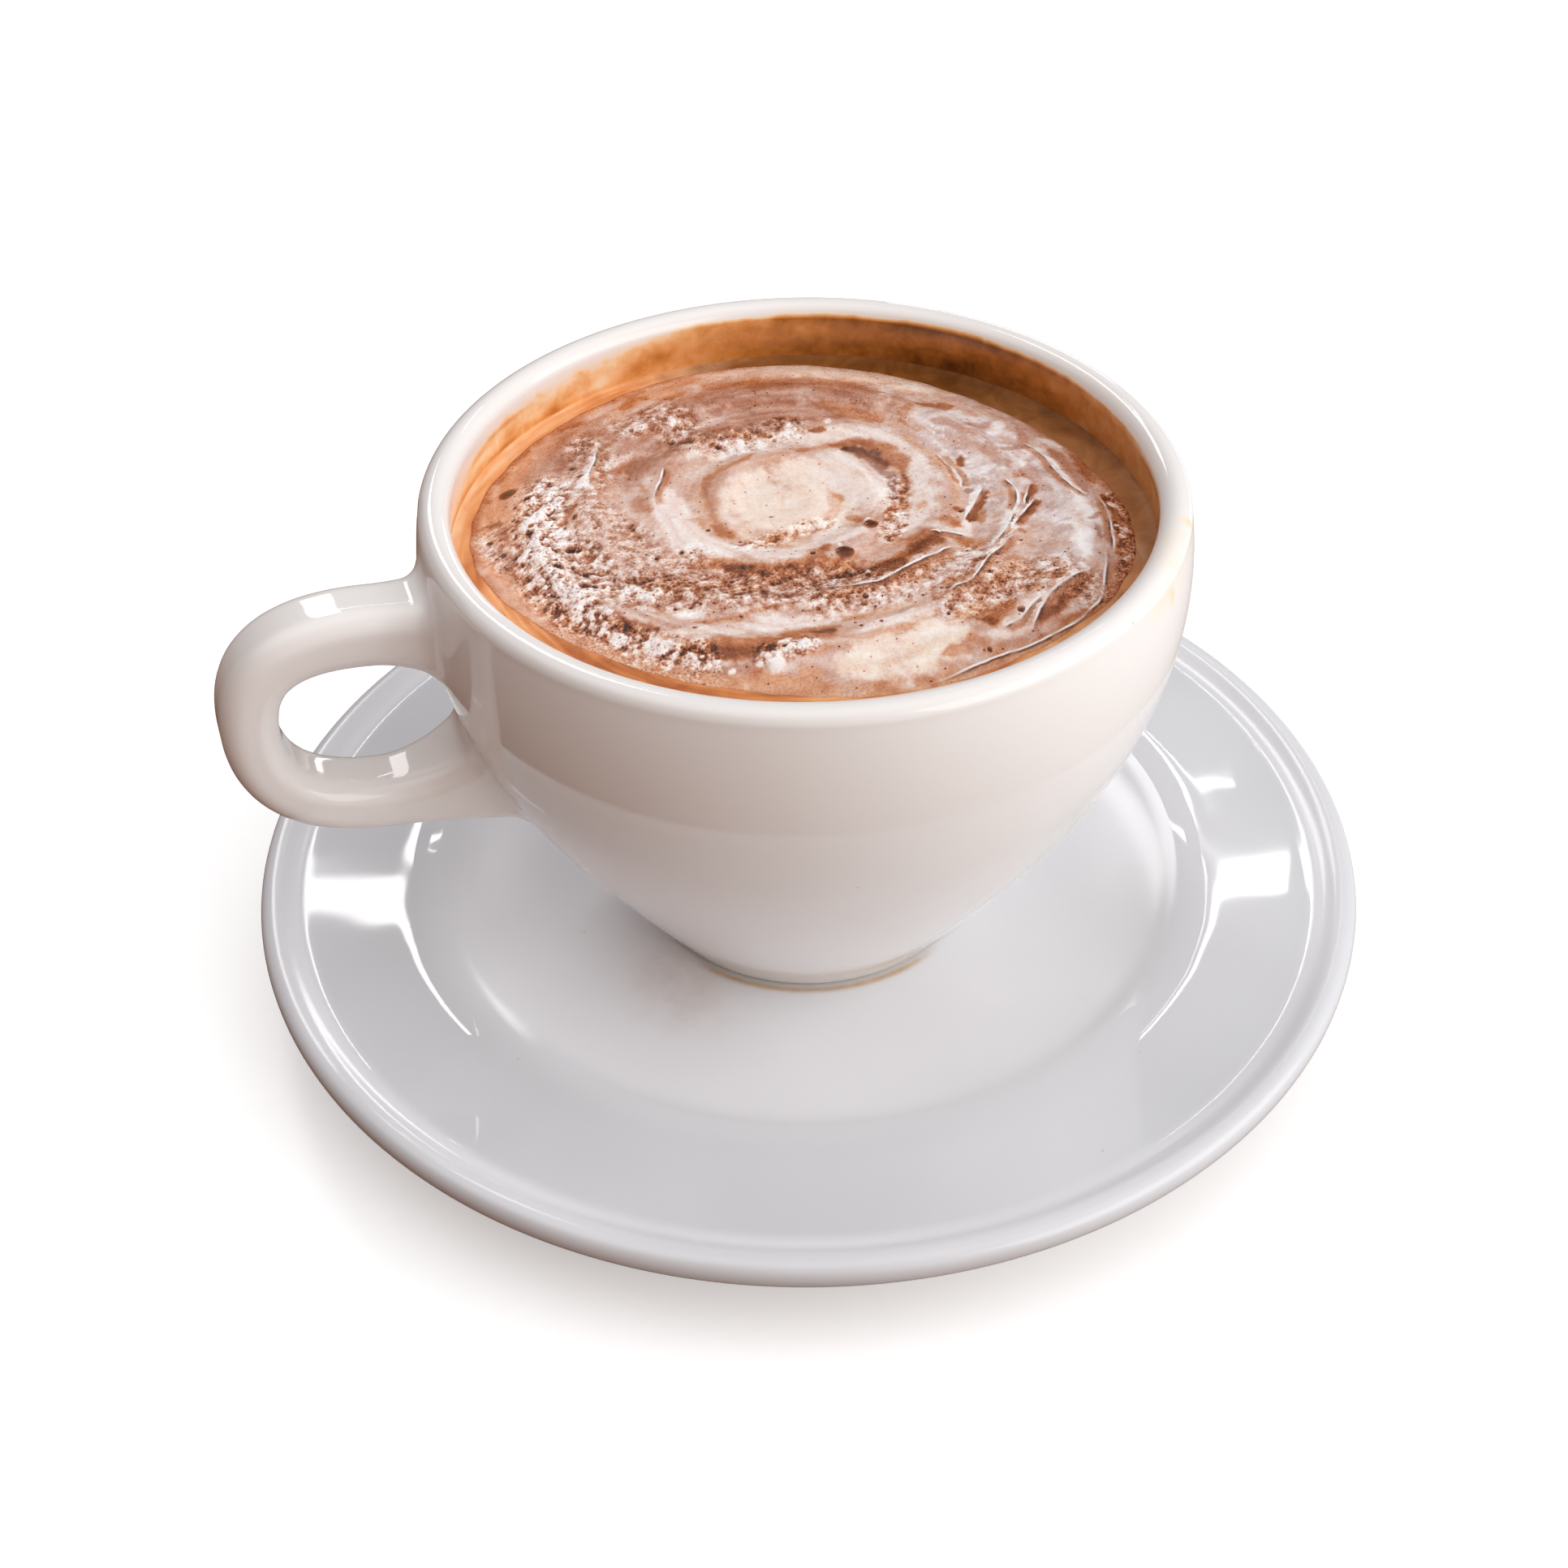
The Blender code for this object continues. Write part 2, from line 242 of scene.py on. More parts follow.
# %% [markdown]
# Glazed porcelain is known by what it mirrors. A window is a thin bright box behind the cup, put
# where a mirror at a chosen spot of the saucer's flange would show it to the camera. The low and
# the tall panel do the same for the handle. The key is a broad soft box in front on the right.


# %% Soft boxes
LIGHT_DISTANCE = 1.2
LIGHT_AIM = Vector((0, 0, 30 * MM))


def mirrored_way(spot, facing):
    """The direction in which a mirror at spot, facing that way, shows the room to the camera."""
    ray = (Vector(spot) * MM - CAMERA_PLACE).normalized()
    normal = Vector(facing).normalized()
    return ray - 2 * ray.dot(normal) * normal


def soft_box(name, way, width, height, radiance, turn=0.0):
    """A white rectangular light in that direction, sized in degrees as seen from the cup."""
    data = bpy.data.lights.new(name, "AREA")
    data.shape = "RECTANGLE"
    data.size = 2 * LIGHT_DISTANCE * math.tan(math.radians(width) / 2)
    data.size_y = 2 * LIGHT_DISTANCE * math.tan(math.radians(height) / 2)
    data.energy = radiance * data.size * data.size_y * math.pi
    item = bpy.data.objects.new(name, data)
    bpy.context.scene.collection.objects.link(item)
    centre = LIGHT_AIM + way.normalized() * LIGHT_DISTANCE
    aim = way.to_track_quat("Z", "Y").to_matrix().to_4x4()
    item.matrix_world = Matrix.Translation(centre) @ aim @ Matrix.Rotation(math.radians(turn), 4, "Z")
    print(f"{name}: {data.size * 1000:.0f} x {data.size_y * 1000:.0f} mm, {data.energy:.2f} W")


FLANGE_HEIGHT = 13.4
FLANGE_TILT = 0.045


def flange_facing(x, y):
    """The way the saucer's flange faces at that place: up, and a little towards the axis."""
    reach = math.hypot(x, y)
    return (-FLANGE_TILT * x / reach, -FLANGE_TILT * y / reach, 1.0)


def compass(azimuth, elevation):
    """A direction by its bearing from +X and its height above the horizon, in degrees."""
    a, e = math.radians(azimuth), math.radians(elevation)
    return Vector((math.cos(e) * math.cos(a), math.cos(e) * math.sin(a), math.sin(e)))


# Windows: the spot that mirrors it in millimetres, width and height in degrees, radiance and turn.
WINDOWS = {
    "window_left": ((-62.5, 22), 9.0, 0.75, 11.0, -5.0),
    "window_right": ((60.5, -20.5), 8.0, 0.5, 13.0, 9.0),
    "window_far": ((66, 7), 7.0, 0.14, 12.0, 16.0),
}
# Panels: bearing and elevation, width and height in degrees, and radiance.
PANELS = {
    "low_panel": ((60.0, 11.0), 14.0, 7.0, 5.0),
    "tall_panel": ((95.0, 44.0), 10.0, 30.0, 5.0),
    "key": ((317.0, 26.0), 60.0, 40.0, 1.8),
}
for name, (spot, width, height, radiance, turn) in WINDOWS.items():
    soft_box(name, mirrored_way((*spot, FLANGE_HEIGHT), flange_facing(*spot)), width, height, radiance, turn)
for name, (bearing, width, height, radiance) in PANELS.items():
    soft_box(name, compass(*bearing), width, height, radiance)

# %% [markdown]
# ## The saucer
# A saucer is thrown or pressed as one turned plate: a flat well, a hollow slope, a nearly flat
# flange and a rounded bead at the rim. A drawn profile spun round the axis gives exactly that, and
# fine steps keep the mirror lines on the glaze unbroken.


# %% Curves for turned shapes
def bezier(start, lead_out, lead_in, end, steps):
    """Points of a cubic curve from start to end, both included."""
    points = []
    for i in range(steps + 1):
        t = i / steps
        weights = ((1 - t) ** 3, 3 * t * (1 - t) ** 2, 3 * t * t * (1 - t), t ** 3)
        corners = (start, lead_out, lead_in, end)
        points.append(tuple(sum(w * c[k] for w, c in zip(weights, corners)) for k in (0, 1)))
    return points


def straight(start, end, steps):
    """Points of a straight line, without its first."""
    return [tuple(a + (b - a) * i / steps for a, b in zip(start, end)) for i in range(1, steps + 1)]


def arc(centre, radius_across, radius_up, first, last, steps):
    """Points of an ellipse's arc between two angles in degrees, both included."""
    points = []
    for i in range(steps + 1):
        angle = math.radians(first + (last - first) * i / steps)
        points.append((centre[0] + radius_across * math.cos(angle), centre[1] + radius_up * math.sin(angle)))
    return points


def turned(profile, sides):
    """A closed turned shape from (radius, height) points that start and end on the axis."""
    bm = bmesh.new()
    verts = [bm.verts.new((r * MM, 0.0, z * MM)) for r, z in profile]
    edges = [bm.edges.new(pair) for pair in zip(verts, verts[1:])]
    bmesh.ops.spin(bm, geom=verts + edges, cent=(0, 0, 0), axis=(0, 0, 1), angle=TURN,
                   steps=sides, use_merge=True, use_duplicate=False)
    bmesh.ops.remove_doubles(bm, verts=bm.verts, dist=1e-7)
    bmesh.ops.recalc_face_normals(bm, faces=bm.faces)
    return bm


def add_piece(name, bm, material, replaced):
    """Makes the mesh a smooth shaded piece that stands for its CAD node."""
    mesh = bpy.data.meshes.new(name)
    bm.to_mesh(mesh)
    bm.free()
    mesh.shade_smooth()
    mesh.materials.append(material)
    item = bpy.data.objects.new(name, mesh)
    bpy.context.scene.collection.objects.link(item)
    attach(item, "root")
    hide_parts(replaced)
    report(item)
    return item


def report(item):
    """Prints how large a finished piece's mesh is."""
    triangles = sum(len(face.vertices) - 2 for face in item.data.polygons)
    print(f"{item.name}: {len(item.data.vertices)} points, {triangles} triangles")


def points_of(mesh):
    """The places of a mesh's vertices in millimetres, one row each."""
    flat = np.zeros(len(mesh.vertices) * 3)
    mesh.vertices.foreach_get("co", flat)
    return flat.reshape(-1, 3) / MM


def paint(mesh, name, values):
    """Keeps one number for each vertex, for a material to read by that name."""
    layer = mesh.attributes.new(name, "FLOAT", "POINT")
    layer.data.foreach_set("value", np.asarray(values, np.float32))


def smooth_step(low, high, value):
    """0 at low, 1 at high, and eased in between; low may be above high."""
    t = np.clip((value - low) / (high - low), 0.0, 1.0)
    return t * t * (3 - 2 * t)


# %% [markdown]
# Random hills in the plane are needed again and again: for ragged stain edges, froth and streaks.
# This is the usual gradient noise, written for whole arrays so that it stays quick.


# %% Hills
LATTICE = 256


def hills(x, y, size, seed):
    """Smooth random hills about that many millimetres across, from about -1 to 1."""
    angles = np.random.default_rng(seed).uniform(0.0, TURN, (LATTICE, LATTICE))
    across, along = x / size, y / size
    column, row = np.floor(across).astype(int), np.floor(along).astype(int)
    fx, fy = across - column, along - row
    ease_x = fx * fx * fx * (fx * (fx * 6 - 15) + 10)
    ease_y = fy * fy * fy * (fy * (fy * 6 - 15) + 10)
    corners = []
    for dy in (0, 1):
        for dx in (0, 1):
            lean = angles[(column + dx) % LATTICE, (row + dy) % LATTICE]
            corners.append(np.cos(lean) * (fx - dx) + np.sin(lean) * (fy - dy))
    near = corners[0] + ease_x * (corners[1] - corners[0])
    far = corners[2] + ease_x * (corners[3] - corners[2])
    return 1.5 * (near + ease_y * (far - near))


def rough_hills(x, y, size, seed, layers=4):
    """Hills on hills: each layer has half the size and about half the height."""
    total = np.zeros_like(x)
    share = 1.0
    for layer in range(layers):
        total += share * hills(x, y, size / 2 ** layer, seed + layer)
        share *= 0.55
    return total


# %% Saucer profile
SAUCER_SIDES = 288
WELL_TOP = 8.0
WELL_RADIUS = 26.0
BEND_START = (49.5, 11.6)
BEND_END = (57.5, 13.25)
FLANGE_END = (68.8, 13.71)
CREST = (73.1, 15.2)
RIM_EDGE = (75.0, 13.3)
RIM_UNDER = (72.4, 10.7)

saucer_profile = [(0.0, WELL_TOP)] + straight((0.0, WELL_TOP), (20.0, WELL_TOP), 8)
saucer_profile += straight((20.0, WELL_TOP), (WELL_RADIUS, WELL_TOP), 24)
saucer_profile += bezier((WELL_RADIUS, WELL_TOP), (36.5, WELL_TOP), (45.0, 9.5), BEND_START, 40)[1:]
saucer_profile += bezier(BEND_START, (51.6, 12.6), (53.4, 13.1), BEND_END, 24)[1:]
saucer_profile += straight(BEND_END, FLANGE_END, 10)
saucer_profile += bezier(FLANGE_END, (71.2, 13.8), (71.6, 15.2), CREST, 20)[1:]
saucer_profile += bezier(CREST, (74.3, 15.2), (75.0, 14.5), RIM_EDGE, 10)[1:]
saucer_profile += bezier(RIM_EDGE, (75.0, 11.8), (73.9, 10.7), RIM_UNDER, 8)[1:]
saucer_profile += straight(RIM_UNDER, (53.0, 9.0), 6)
saucer_profile += bezier((53.0, 9.0), (49.5, 8.7), (45.4, 7.6), (44.2, 3.4), 10)[1:]
saucer_profile += bezier((44.2, 3.4), (43.9, 2.2), (43.8, 0.0), (42.6, 0.0), 8)[1:]
saucer_profile += bezier((39.4, 0.0), (38.3, 0.0), (38.5, 3.6), (37.0, 4.0), 10)
saucer_profile += straight((37.0, 4.0), (0.0, 4.0), 8)
print("saucer profile:", len(saucer_profile), "points, widest", max(r for r, z in saucer_profile), "mm")

# %% [markdown]
# ### Glaze
# Porcelain glaze is clear glass over a white body. Up close it isn't quite even: the white drifts
# a little, the glass has a slow ripple that bends mirror lines, and there are pinholes. The cup and
# the saucer share that, so it is one node group with its own values in each material. The saucer's
# well and rim are worn dull, and its flange is a mirror, so wear changes with the reach from the
# axis. The white changes with the reach too: the well and its slope are painted whiter than the
# flange, painted light that brightens the well and lifts the shade on the slope, and the rim bead
# is whiter than the flange.


# %% Glaze group
def new_group(name, inputs, outputs):
    """An empty node group with named sockets, and its two end nodes."""
    group = bpy.data.node_groups.new(name, "ShaderNodeTree")
    for label, kind in inputs:
        group.interface.new_socket(name=label, in_out="INPUT", socket_type=kind)
    for label, kind in outputs:
        group.interface.new_socket(name=label, in_out="OUTPUT", socket_type=kind)
    return group, group.nodes.new("NodeGroupInput"), group.nodes.new("NodeGroupOutput")


glaze_group, given, result = new_group(
    "glaze",
    [("Place", "NodeSocketVector"), ("White", "NodeSocketColor"), ("Drift", "NodeSocketColor"),
     ("Smoothness", "NodeSocketFloat")],
    [("Colour", "NodeSocketColor"), ("Roughness", "NodeSocketFloat"), ("Height", "NodeSocketFloat")])
cloud = noise(glaze_group, given.outputs["Place"], 28.0, detail=2.0)
drift = math_node(glaze_group, "MULTIPLY_ADD", cloud, 1.4, -0.5, clamp=True)
body = blend_colours(glaze_group, drift, given.outputs["White"], given.outputs["Drift"])
pits = node(glaze_group, "ShaderNodeTexVoronoi", {"Vector": given.outputs["Place"], "Scale": 90.0},
            feature="F1").outputs["Distance"]
pinhole = math_node(glaze_group, "LESS_THAN", pits, 0.018)
pinhole = math_node(glaze_group, "MULTIPLY", pinhole, 0.25)
speckled = blend_colours(glaze_group, pinhole, body, tint(150, 138, 124))
glaze_group.links.new(speckled, result.inputs["Colour"])
smear = noise(glaze_group, given.outputs["Place"], 60.0, detail=4.0)
rough = math_node(glaze_group, "MULTIPLY_ADD", smear, 0.03, given.outputs["Smoothness"])
glaze_group.links.new(rough, result.inputs["Roughness"])
ripple = noise(glaze_group, given.outputs["Place"], 70.0, detail=1.0)
glaze_group.links.new(ripple, result.inputs["Height"])
print("glaze group:", len(glaze_group.nodes), "nodes")

# %% [markdown]
# ### Dried coffee
# Coffee that has run down a wall dries to a thin see-through film: straw yellow where it is thinnest,
# then orange brown, and nearly black brown where it is thick. A film value from 0 to 1, painted on
# the mesh, is broken up by noise and runs through a colour ramp.

# %% Film group
film_group, given, result = new_group(
    "coffee_film",
    [("Place", "NodeSocketVector"), ("Glaze", "NodeSocketColor"), ("Film", "NodeSocketFloat"),
     ("Ragged", "NodeSocketFloat")],
    [("Colour", "NodeSocketColor"), ("Cover", "NodeSocketFloat")])
tatter = noise(film_group, given.outputs["Place"], 420.0, detail=4.0, roughness=0.6, distortion=0.4)
tatter = math_node(film_group, "SUBTRACT", tatter, 0.5)
present = math_node(film_group, "MULTIPLY", given.outputs["Film"], 6.0, clamp=True)
tatter = math_node(film_group, "MULTIPLY", tatter, present)
thick = math_node(film_group, "MULTIPLY_ADD", tatter, given.outputs["Ragged"], given.outputs["Film"])
thick = math_node(film_group, "MINIMUM", math_node(film_group, "MAXIMUM", thick, 0.0), 1.0)
colour = ramp(film_group, thick, [(0.0, tint(252, 236, 208)), (0.2, tint(250, 214, 168)),
                                  (0.42, tint(236, 172, 110)), (0.62, tint(206, 132, 62)),
                                  (0.82, tint(158, 96, 38)), (1.0, tint(96, 52, 16))])
cover = math_node(film_group, "MULTIPLY", thick, 4.5, clamp=True)
stained = blend_colours(film_group, cover, given.outputs["Glaze"], colour)
film_group.links.new(stained, result.inputs["Colour"])
film_group.links.new(cover, result.inputs["Cover"])
print("coffee film group:", len(film_group.nodes), "nodes")


# %% Porcelain materials
FILM_DULLNESS = 0.12
BARE_DULLNESS = 0.5
# The brown of the painted shadow laid on the saucer at and beside the cup's foot.
PAINTED_SHADOW_BROWN = tint(178, 138, 94)
GLAZE_IOR = 1.56
GLAZE_RIPPLE = 0.04


def by_reach(tree, place, zones):
    """A colour or grey that changes with the distance from the axis: (millimetres, colour) pairs."""
    flat = node(tree, "ShaderNodeVectorMath", {0: place, 1: (1.0, 1.0, 0.0)}, operation="MULTIPLY")
    reach = node(tree, "ShaderNodeVectorMath", {0: flat.outputs["Vector"]}, operation="LENGTH")
    share = math_node(tree, "DIVIDE", reach.outputs["Value"], zones[-1][0] * MM, clamp=True)
    return ramp(tree, share, [(away / zones[-1][0], colour) for away, colour in zones], "EASE")


def porcelain(name, whites_and_painted_light, wear, drift, smoothness, ragged, foot_height):
    """Glazed white porcelain, bare below foot_height in millimetres, with dried coffee where its
    mesh is painted with film, and a brown painted shadow where it is painted with shadow."""
    material, tree, shader = new_material(name)
    place = node(tree, "ShaderNodeTexCoord").outputs["Object"]
    glaze = node(tree, "ShaderNodeGroup", {"Place": place, "White": by_reach(tree, place, whites_and_painted_light),
                                           "Drift": drift, "Smoothness": smoothness}, node_tree=glaze_group)
    film = node(tree, "ShaderNodeAttribute", attribute_name="film").outputs["Fac"]
    stain = node(tree, "ShaderNodeGroup", {"Place": place, "Glaze": glaze.outputs["Colour"],
                                           "Film": film, "Ragged": ragged}, node_tree=film_group)
    # Painted shadow: the brown is laid over the glaze wherever the mesh is painted with it.
    painted_shadow = node(tree, "ShaderNodeAttribute", attribute_name="painted_shadow").outputs["Fac"]
    grain = noise(tree, place, 700.0, detail=3.0)
    painted_shadow = math_node(tree, "MULTIPLY", painted_shadow, math_node(tree, "MULTIPLY_ADD", grain, 0.8, 0.6), clamp=True)
    stained_and_shadowed = blend_colours(tree, painted_shadow, stain.outputs["Colour"], PAINTED_SHADOW_BROWN)
    height = node(tree, "ShaderNodeSeparateXYZ", {0: place}).outputs["Z"]
    bare = math_node(tree, "LESS_THAN", height, foot_height * MM)
    grit = noise(tree, place, 3000.0)
    biscuit = ramp(tree, grit, [(0.3, tint(206, 200, 190)), (0.7, tint(226, 221, 212))])
    link(tree, blend_colours(tree, bare, stained_and_shadowed, biscuit), shader, "Base Color")
    rough = math_node(tree, "MULTIPLY_ADD", stain.outputs["Cover"], FILM_DULLNESS, glaze.outputs["Roughness"])
    rough = math_node(tree, "ADD", by_reach(tree, place, wear), rough)
    rough = math_node(tree, "MULTIPLY_ADD", bare, BARE_DULLNESS, rough, clamp=True)
    link(tree, rough, shader, "Roughness")
    bump = node(tree, "ShaderNodeBump", {"Strength": GLAZE_RIPPLE, "Distance": 0.0006,
                                         "Height": glaze.outputs["Height"]})
    link(tree, bump.outputs["Normal"], shader, "Normal")
    shader.inputs["IOR"].default_value = GLAZE_IOR
    return material


# The well and its slope are painted whiter than the flange: painted light, which brightens the well and lifts
# the shade on the slope.
SAUCER_WHITES_AND_PAINTED_LIGHT = ((0, tint(242, 243, 246)), (46.0, tint(240, 241, 245)), (56.5, tint(213, 214, 218)),
                 (68, tint(209, 210, 214)), (70.4, tint(236, 236, 240)), (75, tint(212, 212, 216)))
CUP_WHITES = ((0, tint(242, 239, 237)), (75, tint(240, 236, 234)))
SAUCER_WEAR = [(reach, (rough, rough, rough, 1.0)) for reach, rough in
               ((0, 0.20), (50.4, 0.16), (52.0, 0.0), (68.6, 0.0), (70.2, 0.14), (75, 0.14))]
CUP_WEAR = [(reach, (rough, rough, rough, 1.0)) for reach, rough in ((0, 0.0), (75, 0.01))]
saucer_finish = porcelain("saucer_porcelain", SAUCER_WHITES_AND_PAINTED_LIGHT, SAUCER_WEAR, drift=tint(226, 227, 231),
                          smoothness=0.012, ragged=0.5, foot_height=0.3)
cup_finish = porcelain("cup_porcelain", CUP_WHITES, CUP_WEAR, drift=tint(238, 234, 231),
                       smoothness=0.04, ragged=0.45, foot_height=8.6)
print("made", saucer_finish.name, "and", cup_finish.name)

# %% Saucer
saucer_bm = turned(saucer_profile, SAUCER_SIDES)
saucer = add_piece("saucer_dish", saucer_bm, saucer_finish, "saucer")

# %% [markdown]
# A ring of coffee has run down the cup and dried round the front of its foot, so the saucer is
# painted with a little film there. Along the same line, and in a soft patch to the left of the foot,
# the saucer is also painted brown: painted contact shadow at the foot and a painted shadow of the cup.

# %% Saucer stain and painted shadow
where = points_of(saucer.data)
reach = np.hypot(where[:, 0], where[:, 1])
bearing = np.degrees(np.arctan2(where[:, 1], where[:, 0])) % 360
upper = smooth_step(7.0, 7.6, where[:, 2])
FOOT_LINE_RADIUS = 22.9
FOOT_LINE_FILM, FOOT_LINE_SHADOW, SHADOW_PATCH_STRENGTH = 0.10, 0.60, 0.36
SHADOW_PATCH_X, SHADOW_PATCH_Y = -23.0, -15.0
# The foot line is a little coffee film with painted contact shadow along it; the patch on the left of the
# foot is a painted shadow of the cup.
line_part = smooth_step(205, 225, bearing) * (1 - smooth_step(285, 304, bearing))
foot_line = line_part * np.exp(-((reach - FOOT_LINE_RADIUS) / 0.5) ** 2)
shadow_patch = np.exp(-((where[:, 0] - SHADOW_PATCH_X) ** 2 / 34.0 + (where[:, 1] - SHADOW_PATCH_Y) ** 2 / 60.0))
shadow_patch *= 0.8 + 0.3 * rough_hills(where[:, 0], where[:, 1], 6.0, 5)
painted_shadow = np.clip(FOOT_LINE_SHADOW * foot_line + SHADOW_PATCH_STRENGTH * shadow_patch, 0.0, 1.0)
paint(saucer.data, "film", upper * FOOT_LINE_FILM * np.clip(foot_line, 0.0, 1.0))
paint(saucer.data, "painted_shadow", upper * painted_shadow)
print("saucer smudge reaches", round(float(painted_shadow.max()), 2))

# %% [markdown]
# ## The cup
# The cup is turned too: a small foot, a full belly and a rounded lip. Its ear handle is pulled from
# a strip of clay, pressed on and smoothed over, so its ends run out into the wall in fillets.

# %% Cup profile
cup_low, cup_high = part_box("cup")
FOOT_Z = cup_low.z / MM
LIP_TOP = cup_high.z / MM
CUP_SIDES = 320
WALL = 4.0
LIP_OUTER = 47.3
LIP_CENTRE_Z = FOOT_Z + 63.4
WALL_STEPS = 90
FLOOR_TOP = 6.5
FLOOR_BLEND = 3.5
FOOT_RADIUS = 22.3

outer_wall = bezier((FOOT_RADIUS + 0.1, FOOT_Z + 0.5), (36.7, FOOT_Z + 21.1), (51.7, FOOT_Z + 40.2),
                    (LIP_OUTER, LIP_CENTRE_Z), WALL_STEPS)


def offset_inwards(points, distance):
    """Moves a rising profile sideways by distance, towards the axis."""
    moved = []
    for i, point in enumerate(points):
        before, after = points[max(i - 1, 0)], points[min(i + 1, len(points) - 1)]
        tangent = Vector((after[0] - before[0], after[1] - before[1])).normalized()
        moved.append((point[0] - tangent.y * distance, point[1] + tangent.x * distance))
    return moved


def hollow(distance):
    """The bowl's hollow: a flat floor blended into the wall, distance inside the outer wall."""
    floor_z = FOOT_Z + FLOOR_TOP + distance - WALL
    wall = [p for p in offset_inwards(outer_wall, distance) if p[1] > floor_z + FLOOR_BLEND]
    rise = (Vector(wall[1]) - Vector(wall[0])).normalized()
    lead = Vector(wall[0]) - rise * FLOOR_BLEND
    blend = bezier((14.0, floor_z), (lead.x, floor_z), tuple(lead), wall[0], 12)
    return [(0.0, floor_z)] + straight((0.0, floor_z), (14.0, floor_z), 5) + blend[1:] + wall[1:]


inner_wall = hollow(WALL)
lip_middle = (LIP_OUTER - WALL / 2, LIP_CENTRE_Z)
lip = arc(lip_middle, WALL / 2, LIP_TOP - LIP_CENTRE_Z, 180.0, 0.0, 22)
foot = bezier((FOOT_RADIUS + 0.1, FOOT_Z + 0.5), (FOOT_RADIUS - 0.1, FOOT_Z + 0.2),
              (FOOT_RADIUS - 0.2, FOOT_Z), (FOOT_RADIUS - 0.7, FOOT_Z), 5)
foot += bezier((19.4, FOOT_Z), (18.7, FOOT_Z), (18.7, FOOT_Z + 1.5), (17.9, FOOT_Z + 1.6), 6)
foot += straight((17.9, FOOT_Z + 1.6), (0.0, FOOT_Z + 1.6), 6)
cup_profile = inner_wall[:-1] + lip + list(reversed(outer_wall))[1:-1] + foot
print("cup profile:", len(cup_profile), "points; lip top at", round(LIP_TOP, 2), "mm")

# %% Handle line
# Places on the handle are millimetres out from the axis and millimetres above the cup's foot.
EAR_TOP_ROOT = (45.9, 54.5)
EAR_OUTERMOST = (71.0, 45.2)
EAR_LOWER_ROOT = (40.7, 33.0)
EAR_STEPS = 130
ear_line = bezier(EAR_TOP_ROOT, (57.0, 57.5), (71.0, 59.7), EAR_OUTERMOST, EAR_STEPS)
ear_line += bezier(EAR_OUTERMOST, (71.0, 32.2), (57.5, 27.8), EAR_LOWER_ROOT, EAR_STEPS)[1:]
EAR_WIDTH = 9.4
EAR_TOP_THICKNESS = 8.4
EAR_LOWER_THICKNESS = 7.2
EAR_THIN = 0.8
EAR_CORNER = 2.9
EAR_TOP_FLARE = (3.2, 2.6)
EAR_LOWER_FLARE = (6.0, 6.5)
EAR_TOP_FLARE_LENGTH = 0.13
EAR_LOWER_FLARE_LENGTH = 0.17
EAR_FILLET = 2.2
CORNER_STEPS = 8
SIDE_STEPS = 4
print("handle line:", len(ear_line), "places")

# %% [markdown]
# Each ring of the handle is a rounded rectangle. Near the wall every point is pushed outwards by
# the height of a quarter circle over its own distance from the wall. That is how a fillet grows,
# and it lands flat on the wall whatever the wall's slope.


# %% Handle section
def section(width, thickness):
    """Points of a rounded rectangle, each with the way it faces."""
    spots = []
    for quarter, (sx, sy) in enumerate(((1, 1), (-1, 1), (-1, -1), (1, -1))):
        centre = Vector((sx * (width / 2 - EAR_CORNER), sy * (thickness / 2 - EAR_CORNER)))
        for step in range(CORNER_STEPS + 1):
            angle = math.radians(90.0 * (quarter + step / CORNER_STEPS))
            face = Vector((math.cos(angle), math.sin(angle)))
            spots.append((centre + EAR_CORNER * face, face))
    dense = []
    for i, (spot, face) in enumerate(spots):
        dense.append((spot, face))
        if i % (CORNER_STEPS + 1) == CORNER_STEPS:
            following = spots[(i + 1) % len(spots)][0]
            for step in range(1, SIDE_STEPS):
                dense.append((spot.lerp(following, step / SIDE_STEPS), face))
    return dense


# %% Handle fillets
outer_radii = [r for r, z in outer_wall]
outer_heights = [z for r, z in outer_wall]
SLOPE_COSINE = 0.93


def wall_gap(point):
    """How far outside the bowl's wall a point lies, measured level, in millimetres."""
    return math.hypot(point.x, point.y) - float(np.interp(point.z, outer_heights, outer_radii))


def grow_fillet(point, way):
    """Pushes a point near the wall out along way, and keeps it as far from the wall as it was."""
    before = wall_gap(point)
    gap = before * SLOPE_COSINE
    if gap >= EAR_FILLET:
        return point
    inside = EAR_FILLET - max(gap, 0.0)
    pushed = point + way * (EAR_FILLET - math.sqrt(max(EAR_FILLET ** 2 - inside ** 2, 0.0)))
    level = Vector((pushed.x, pushed.y, 0.0)).normalized()
    return pushed - level * (wall_gap(pushed) - before)


def flare(from_root, reach):
    """1 at the root, easing to 0 at the end of its reach."""
    return max(0.0, 1.0 - from_root / reach) ** 2


